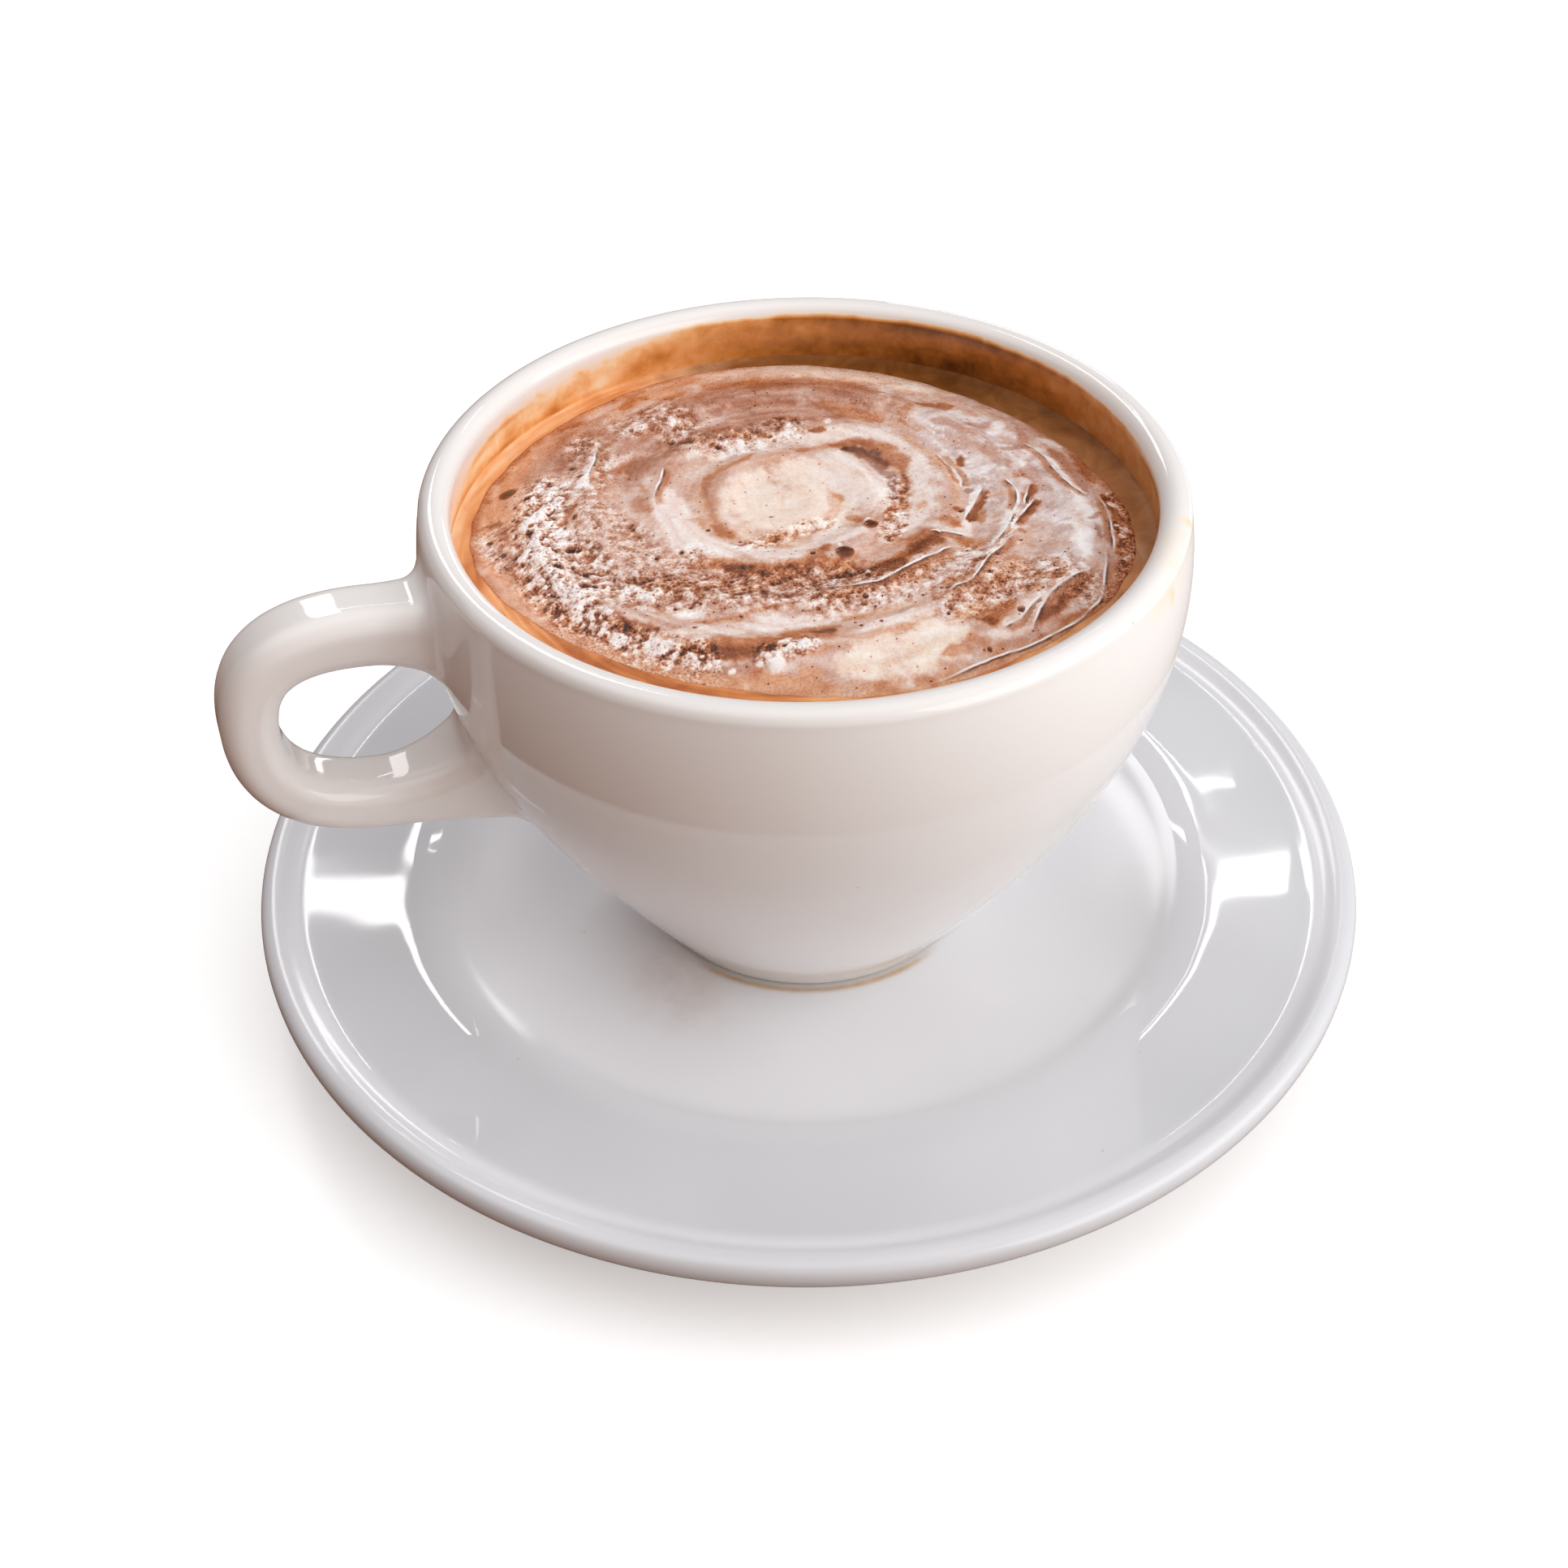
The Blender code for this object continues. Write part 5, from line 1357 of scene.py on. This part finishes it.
WET_BANDS = (
    (1.0, 11.0, ((27, 22), (29, 8), (28, -6), (26, -16))),
    (0.8, 6.0, ((20, -14), (24, -24), (14, -31), (0, -34))),
    (0.7, 4.0, ((-2, -14), (6, -14), (16, -10))),
    (0.5, 7.0, ((-34, 22), (-26, 33), (-8, 39), (8, 39), (20, 32))),
    (0.5, 4.0, ((-36, 3), (-32, -12), (-22, -24), (-10, -30))),
)


def bands(x, y, rows):
    """The strongest of several soft bands at each place."""
    total = np.zeros_like(x)
    for amount, half, line in rows:
        near = close_to(x, y, line, half * 1.5)
        distance, along = line_distance(x[near], y[near], line)
        total[near] = np.maximum(total[near], amount * smooth_step(1.4, 0.5, np.abs(distance) / half))
    return total


# %% Foam bubbles
# Each bubble is a place and a radius in millimetres. Domes are whole bubbles, pits are burst ones,
# and blobs are lumps of dry froth.
DOMES = ((7.5, -3.5, 1.0), (2.5, -8.0, 1.25), (-33.0, 20.5, 1.3))
PITS = ((-1.3, -7.0, 0.4), (18.2, -25.8, 0.55), (-28.8, 4.3, 0.8), (-28.0, 3.7, 0.5), (-31.4, 1.0, 0.7),
        (-29.6, 0.4, 0.4), (-28.4, -1.4, 0.7), (-27.6, -1.6, 0.4), (-29.2, -4.0, 0.8), (-28.2, -4.4, 0.5),
        (-32.8, 9.0, 0.6), (-31.8, 7.1, 0.35), (-30.8, 4.7, 0.45), (-27.8, -16.0, 0.6), (-36.7, 7.0, 0.5),
        (-37.6, 10.7, 0.5), (-10.1, 23.8, 0.5), (-4.8, 20.5, 0.5), (-31.1, 17.0, 0.55), (-33.0, 16.0, 0.4),
        (-24.0, 22.1, 0.45), (-22.6, -20.7, 0.5), (-24.0, -19.3, 0.4), (-30.0, -12.0, 0.3),
        (-26.5, 11.0, 0.3), (-20.3, 6.1, 0.35), (-16.3, -1.2, 0.4), (-19.4, -1.0, 0.35),
        (-19.2, -16.5, 0.35), (-13.4, -16.0, 0.3), (-12.2, -8.7, 0.4), (-20.2, -12.0, 0.35),
        (-18.5, -12.5, 0.3), (1.7, -17.3, 0.45), (-0.8, -22.8, 0.3), (1.7, -22.8, 0.3), (9.7, -23.9, 0.35),
        (2.3, -19.3, 0.25), (10.9, -18.7, 0.3), (12.2, -30.6, 0.35), (-10.6, -23.8, 0.35),
        (3.6, -13.0, 0.4), (14.9, -7.9, 0.35), (19.3, -4.0, 0.35), (-11.6, 2.8, 0.35), (-3.4, 2.6, 0.3),
        (-8.7, -1.0, 0.3), (8.9, -6.2, 0.3), (-1.2, -21.8, 0.25), (23.7, -12.6, 0.25))
BLOBS = ((-12.3, -25.8, 1.25), (-14.0, -24.9, 0.5), (-17.2, -24.6, 0.5), (7.5, -2.3, 0.35), (2.3, -6.4, 0.4),
         (-35.1, -0.4, 0.5), (3.9, -12.4, 0.4), (-35.6, -6.8, 0.6))
SCATTERED = 3200


def scattered(seed, smallest, largest, at_least):
    """Random places in the froth, each with a random size and most of them small."""
    pick = np.random.default_rng(seed)
    x, y = pick.uniform(-FOAM_REACH, FOAM_REACH, (2, SCATTERED))
    sizes = smallest + (largest - smallest) * pick.random(SCATTERED) ** 3
    kept = bands(x, y, FROTH_BANDS) > at_least + 0.35 * pick.random(SCATTERED)
    return [spot for spot, keep in zip(zip(x, y, sizes), kept) if keep]


print(len(DOMES), "domes,", len(PITS), "pits and", len(BLOBS), "blobs are placed by hand")

# %% Foam tone and warmth
def lay_streaks(x, y, tone, warmth):
    """Strokes the streaks over the foam, with edges torn by noise."""
    bent_x = x + 0.35 * rough_hills(x, y, 3.2, 101)
    bent_y = y + 0.35 * rough_hills(x, y, 3.2, 111)
    torn = rough_hills(x, y, 1.7, 121)
    for (value, hue), half, strength, line in STREAKS:
        near = close_to(bent_x, bent_y, line, half * 1.5 + 0.3)
        distance, along = line_distance(bent_x[near], bent_y[near], line)
        taper = np.clip(np.minimum(along, 1 - along) * 7, 0.25, 1.0) ** 0.5
        cover = strength * smooth_step(1.2, 0.35, np.abs(distance) / (half * taper) + 0.40 * torn[near])
        tone[near] += (value - tone[near]) * cover
        warmth[near] += (hue - warmth[near]) * cover


def lay_froth(x, y, tone, warmth, froth, wet):
    """Breaks the froth into white lumps and dark gaps, and marbles the rest along the swirl."""
    lumps = rough_hills(x, y, 1.25, 131, 3)
    tone += froth * (0.68 * lumps + 0.01)
    warmth -= froth * 0.3 * np.maximum(lumps, 0)
    from_x, from_y = x - SWIRL_CENTRE[0], y - SWIRL_CENTRE[1]
    out = np.hypot(from_x, from_y)
    round_swirl = np.arctan2(from_y, from_x) * np.maximum(out, 5.0) / 3.5
    streaked = rough_hills(out + 300, round_swirl + 300, 1.9, 141, 3)
    calm = (1 - froth) * (1 - 0.5 * wet) * (1 - 0.6 * smooth_step(12.0, 8.0, out))
    tone += calm * 0.13 * streaked + 0.035 * rough_hills(x, y, 0.75, 151, 2)
    warmth += 0.14 * rough_hills(x, y, 2.8, 161) - 0.10 * streaked
    milky = wet * smooth_step(0.5, 0.8, tone)
    tone += milky * 0.16 * rough_hills(x + 1.5 * hills(x, y, 5, 165), y, 2.6, 171)


# %% Foam height
def dent(x, y, height, tone, warmth, spots, depth, wash):
    """Sinks a pit with a raised lip at each spot, or raises a lump where depth is less than 0."""
    torn = hills(x, y, 0.6, 199)
    for spot_x, spot_y, radius in spots:
        near = close_to(x, y, [(spot_x, spot_y)], radius * 1.6)
        share = np.hypot(x[near] - spot_x, y[near] - spot_y) / radius + 0.25 * torn[near]
        inside = np.clip(1 - share ** 2, 0.0, 1.0)
        height[near] -= depth * radius * inside
        cover = smooth_step(1.1, 0.5, share)
        tone[near] += (wash[0] - tone[near]) * cover
        warmth[near] += (wash[1] - warmth[near]) * cover
        if depth > 0:
            lip = np.exp(-((share - 1.25) / 0.2) ** 2)
            height[near] += 0.10 * radius * lip
            tone[near] += 0.12 * lip


def swirl_ridge(x, y):
    """The broad ridge that winds out from the swirl's centre."""
    dx, dy = x - SWIRL_CENTRE[0], y - SWIRL_CENTRE[1]
    distance = np.hypot(dx, dy)
    turn = np.arctan2(dy, dx) / TURN
    wave = 0.5 + 0.5 * np.cos(TURN * (distance / SWIRL_PITCH + turn - SWIRL_START))
    return FOAM_RIDGE * wave * np.minimum(1.0, distance / SWIRL_FADE_IN)


def raise_folds(x, y, height):
    """Raises the folds, steep on their right. Gives each place's distance to the nearest fold, less
    than 0 on its left, and a value that falls to 0 at the fold's ends."""
    bent_x, bent_y = x + 0.12 * hills(x, y, 2.0, 181), y + 0.12 * hills(x, y, 2.0, 185)
    fold, fold_end = np.full_like(x, -FOLD_REACH), np.zeros_like(x)
    for rise, line in FOLDS:
        near = np.flatnonzero(close_to(x, y, line, 2.5))
        gap, along = line_distance(bent_x[near], bent_y[near], line)
        ends = smooth_step(0.0, 0.14, np.minimum(along, 1 - along)) * smooth_step(1.3, 0.8, np.abs(gap))
        crest = np.where(gap < 0, np.exp(-(gap / 1.1) ** 2), np.exp(-(gap / 0.3) ** 2))
        height[near] += 0.4 * ends * rise * (crest - 0.3 * np.exp(-((gap - 0.5) / 0.3) ** 2))
        closer = near[np.abs(gap) < np.abs(fold[near])]
        fold[closer] = gap[np.abs(gap) < np.abs(fold[near])]
        fold_end[closer] = ends[np.isin(near, closer)]
    return np.clip(fold, -FOLD_REACH, FOLD_REACH), fold_end


# %% [markdown]
# The cap starts as a square grid with a skirt and a bottom. The grid's points are then moved so that
# its square rings become rings of the foam's outline, which keeps the cells nearly square.

# %% Foam mesh
foam_bm = bmesh.new()
bmesh.ops.create_grid(foam_bm, x_segments=FOAM_CELLS, y_segments=FOAM_CELLS, size=1.0)
rim = [edge for edge in foam_bm.edges if edge.is_boundary]
grown = bmesh.ops.extrude_edge_only(foam_bm, edges=rim)["geom"]
skirt = [item for item in grown if isinstance(item, bmesh.types.BMVert)]
bmesh.ops.translate(foam_bm, verts=skirt, vec=(0, 0, -1.0))
bottom = [item for item in grown if isinstance(item, bmesh.types.BMEdge) and item.is_boundary]
bmesh.ops.edgeloop_fill(foam_bm, edges=bottom)

square = np.array([vert.co for vert in foam_bm.verts])
a, b = square[:, 0], square[:, 1]
wide = np.abs(a) > np.abs(b)
share = np.where(wide, a, b)
safe = np.where(np.abs(share) < 1e-9, 1.0, share)
angle = np.where(wide, math.pi / 4 * b / safe, math.pi / 2 - math.pi / 4 * a / safe)
unit_x, unit_y = share * np.cos(angle), share * np.sin(angle)
bearing = np.arctan2(unit_y, unit_x)
reach = np.abs(share) * foam_edge(bearing)
foam_x, foam_y = reach * np.cos(bearing), reach * np.sin(bearing)
print("foam grid:", len(foam_bm.verts), "points, reaching", round(float(reach.max()), 1), "mm")

# %% [markdown]
# Four values are now worked out for every point: its tone and warmth, how frothy and how wet it is,
# and with them the detail, which is the height of streaks, pits and lumps over the smooth cap. Light
# froth stands a little higher than dark.

# %% Foam surface
FOAM_TONE, FOAM_WARMTH = 0.64, 0.45
PIT_WASH = (0.03, 0.5)
froth = bands(foam_x, foam_y, FROTH_BANDS)
wet = bands(foam_x, foam_y, WET_BANDS) * (1 - 0.6 * froth)
tone = np.full_like(foam_x, FOAM_TONE)
warmth = np.full_like(foam_x, FOAM_WARMTH)
lay_streaks(foam_x, foam_y, tone, warmth)
lay_froth(foam_x, foam_y, tone, warmth, froth, wet)
detail = 0.45 * (tone - 0.55) * (0.35 + 0.65 * froth)
pits, lumps = scattered(201, 0.16, 0.5, 0.3), scattered(211, 0.25, 0.9, 0.62)
dent(foam_x, foam_y, detail, tone, warmth, lumps, -0.45, MILK_WHITE_AND_HIGHLIGHT)
dent(foam_x, foam_y, detail, tone, warmth, pits, 0.6, BROWN)
dent(foam_x, foam_y, detail, tone, warmth, PITS, 0.7, PIT_WASH)
dent(foam_x, foam_y, detail, tone, warmth, BLOBS, -0.5, MILK_WHITE_AND_HIGHLIGHT)
print(len(pits), "small pits and", len(lumps), "lumps are scattered")

# %% Foam domes and folds
for dome_x, dome_y, radius in DOMES:
    share_out = np.hypot(foam_x - dome_x, (foam_y - dome_y) * 1.15) / radius
    inside = smooth_step(1.08, 0.8, share_out)
    detail += 0.35 * radius * np.sqrt(np.clip(1 - share_out ** 2, 0.0, 1.0)) - 0.12 * inside
    tone += (0.06 + 0.16 * smooth_step(0.2, 1.0, share_out) - tone) * inside
    warmth += (0.8 - warmth) * inside
    wet += (1.0 - wet) * inside
    froth *= 1 - inside
fold, fold_end = raise_folds(foam_x, foam_y, detail)
# Just right of each fold the tone is darkened and warmed: painted shade under the fold's edge.
shade_beside_fold = fold_end * np.exp(-((fold - 0.6) / 0.5) ** 2)
tone += (0.30 - tone) * 0.6 * shade_beside_fold
warmth += (0.80 - warmth) * shade_beside_fold

# %% Foam margin
# Up to this bearing the melted margin also lies flat; past it, it keeps its froth and its relief.
MELTED_TO = 318
from_edge = foam_edge(bearing) * (1 - np.abs(share))
edge_torn = rough_hills(foam_x, foam_y, 2.4, 205, 3)
degrees = np.degrees(bearing) % 360
margin = from_edge / by_bearing(EDGE_WIDTH, degrees) + 0.5 * edge_torn
merged = by_bearing(EDGE_MERGED, degrees) * smooth_step(1.0, 0.15, margin)
tone += (by_bearing(EDGE_TONE, degrees) + 0.10 * edge_torn - tone) * merged
warmth += (0.90 - warmth) * merged
froth *= 1 - 0.5 * merged * (degrees < MELTED_TO)
detail *= 1 - merged * (degrees < MELTED_TO)
tone, warmth = np.clip(tone, 0.0, 1.0), np.clip(warmth, 0.0, 1.0)
print("margin melts into the crema over", round(100 * float((merged > 0.5).mean())), "% of the points")

# %% Foam relief
detail += 0.05 * rough_hills(foam_x, foam_y, 0.9, 191) + wet * 0.10 * hills(foam_x, foam_y, 3.0, 195)
inwards = np.clip((1 - np.abs(share)) / FOAM_SHOULDER, 0.0, 1.0)
gentle = by_bearing(EDGE_GENTLE, degrees)
shoulder = (1 - gentle) * np.sqrt(inwards) + gentle * smooth_step(0.0, 1.0, inwards)
crown = FOAM_BODY + 0.6 * swirl_ridge(foam_x, foam_y) + detail - FOAM_EDGE_THICKNESS + 0.2
height = FOAM_EDGE_THICKNESS + shoulder * crown
height = np.where(square[:, 2] < -0.5, 0.0, np.maximum(height, 0.12))
for vert, x, y, z in zip(foam_bm.verts, foam_x, foam_y, height):
    vert.co = (x * MM, y * MM, (FOAM_BASE + z) * MM)
bmesh.ops.recalc_face_normals(foam_bm, faces=foam_bm.faces)
print("foam stands", round(float(height.max()), 2), "mm high")

# %% [markdown]
# Milk foam scatters light under its surface, so it gets a little subsurface scattering. Its colour
# is read from two ramps by tone, one cool and one warm, and mixed by warmth. Fine specks and
# pinpricks, too small for the mesh, stand for the tiniest bubbles, and are strongest in the froth.

# %% Foam material
def mask_stops(*places):
    """Stops of a mask that is white between its two middle places, in millimetres from a fold."""
    return [((place + FOLD_REACH) / (2 * FOLD_REACH), (value, value, value, 1.0))
            for place, value in zip(places, (0.0, 1.0, 1.0, 0.0))]


MILK_IOR = 1.4
# The dark brown of the painted shade in the folds' creases, and the white of their painted highlight.
CREASE_SHADE_BROWN = tint(66, 30, 10)
GLEAM_WHITE = tint(252, 253, 255)
foam_finish, tree, shader = new_material("milk_froth")
place = node(tree, "ShaderNodeTexCoord").outputs["Object"]
tone_read, warmth_read, froth_read, wet_read, fold_read, fold_end_read = (
    node(tree, "ShaderNodeAttribute", attribute_name=name).outputs["Fac"]
    for name in ("tone", "warmth", "froth", "wet", "fold", "fold_end"))
speck = math_node(tree, "SUBTRACT", noise(tree, place, 2900.0, detail=3.0, roughness=0.6), 0.5)
amount = math_node(tree, "MULTIPLY_ADD", froth_read, 1.4, 0.34)
speckled = math_node(tree, "MULTIPLY_ADD", speck, amount, tone_read, clamp=True)
cells = node(tree, "ShaderNodeTexVoronoi", {"Vector": place, "Scale": 1300.0}, feature="F1")
tiny = math_node(tree, "LESS_THAN", cells.outputs["Distance"], 0.20)
rare = node(tree, "ShaderNodeSeparateColor", {"Color": cells.outputs["Color"]}).outputs["Red"]
rare = math_node(tree, "GREATER_THAN", math_node(tree, "MULTIPLY_ADD", froth_read, 0.35, rare), 0.86)
pinprick = math_node(tree, "MULTIPLY", math_node(tree, "MULTIPLY", tiny, rare), 0.35)
speckled = math_node(tree, "SUBTRACT", speckled, pinprick, clamp=True)

# %% Foam colours
COOL_MILK = [(0.0, tint(52, 28, 22)), (0.2, tint(104, 60, 45)), (0.4, tint(158, 110, 94)),
             (0.6, tint(198, 168, 161)), (0.8, tint(230, 215, 213)), (1.0, tint(252, 250, 252))]
WARM_MILK = [(0.0, tint(56, 26, 8)), (0.2, tint(124, 62, 26)), (0.4, tint(184, 110, 64)),
             (0.6, tint(220, 162, 124)), (0.8, tint(241, 212, 189)), (1.0, tint(253, 240, 224))]
milk = blend_colours(tree, warmth_read, ramp(tree, speckled, COOL_MILK), ramp(tree, speckled, WARM_MILK))
wobble = math_node(tree, "SUBTRACT", noise(tree, place, 900.0), 0.5)
wavering = math_node(tree, "MULTIPLY_ADD", wobble, 0.05, fold_read)
broken = math_node(tree, "MULTIPLY_ADD", noise(tree, place, 420.0, detail=2.0), 5.0, -1.9, clamp=True)
drawn = math_node(tree, "MULTIPLY", fold_end_read, math_node(tree, "MULTIPLY_ADD", broken, 0.75, 0.25))
# Painted light on the folds: the gleam is a painted highlight on the fold's left, the crease a dark brown
# painted shade on its right.
gleam = math_node(tree, "MULTIPLY", ramp(tree, wavering, mask_stops(-0.34, -0.20, -0.06, 0.04)), drawn)
crease_shade = math_node(tree, "MULTIPLY", ramp(tree, wavering, mask_stops(0.02, 0.10, 0.18, 0.50)), drawn)
milk = blend_colours(tree, math_node(tree, "MULTIPLY", crease_shade, 0.85), milk, CREASE_SHADE_BROWN)
milk = blend_colours(tree, math_node(tree, "MULTIPLY", gleam, 0.9), milk, GLEAM_WHITE)
link(tree, milk, shader, "Base Color")

# %% Foam gloss and grain
dry = math_node(tree, "MULTIPLY_ADD", speck, 0.5, 0.42)
link(tree, math_node(tree, "MULTIPLY_ADD", wet_read, -0.30, dry, clamp=True), shader, "Roughness")
bubbly = math_node(tree, "MULTIPLY_ADD", froth_read, 0.8, 0.2)
bumpy = math_node(tree, "MULTIPLY", cells.outputs["Distance"], bubbly)
bump = node(tree, "ShaderNodeBump", {"Strength": 0.5, "Distance": 0.0004, "Height": bumpy})
link(tree, bump.outputs["Normal"], shader, "Normal")
shader.inputs["IOR"].default_value = MILK_IOR
shader.inputs["Subsurface Weight"].default_value = 0.12
shader.inputs["Subsurface Scale"].default_value = 0.0006
shader.inputs["Subsurface Radius"].default_value = (1.0, 0.6, 0.4)
print("foam material:", len(tree.nodes), "nodes")

# %% Foam
foam = add_piece("swirled_foam", foam_bm, foam_finish, "milk_foam")
for name, values in (("tone", tone), ("warmth", warmth), ("froth", froth), ("wet", wet),
                     ("fold", (fold + FOLD_REACH) / (2 * FOLD_REACH)), ("fold_end", fold_end)):
    paint(foam.data, name, values)
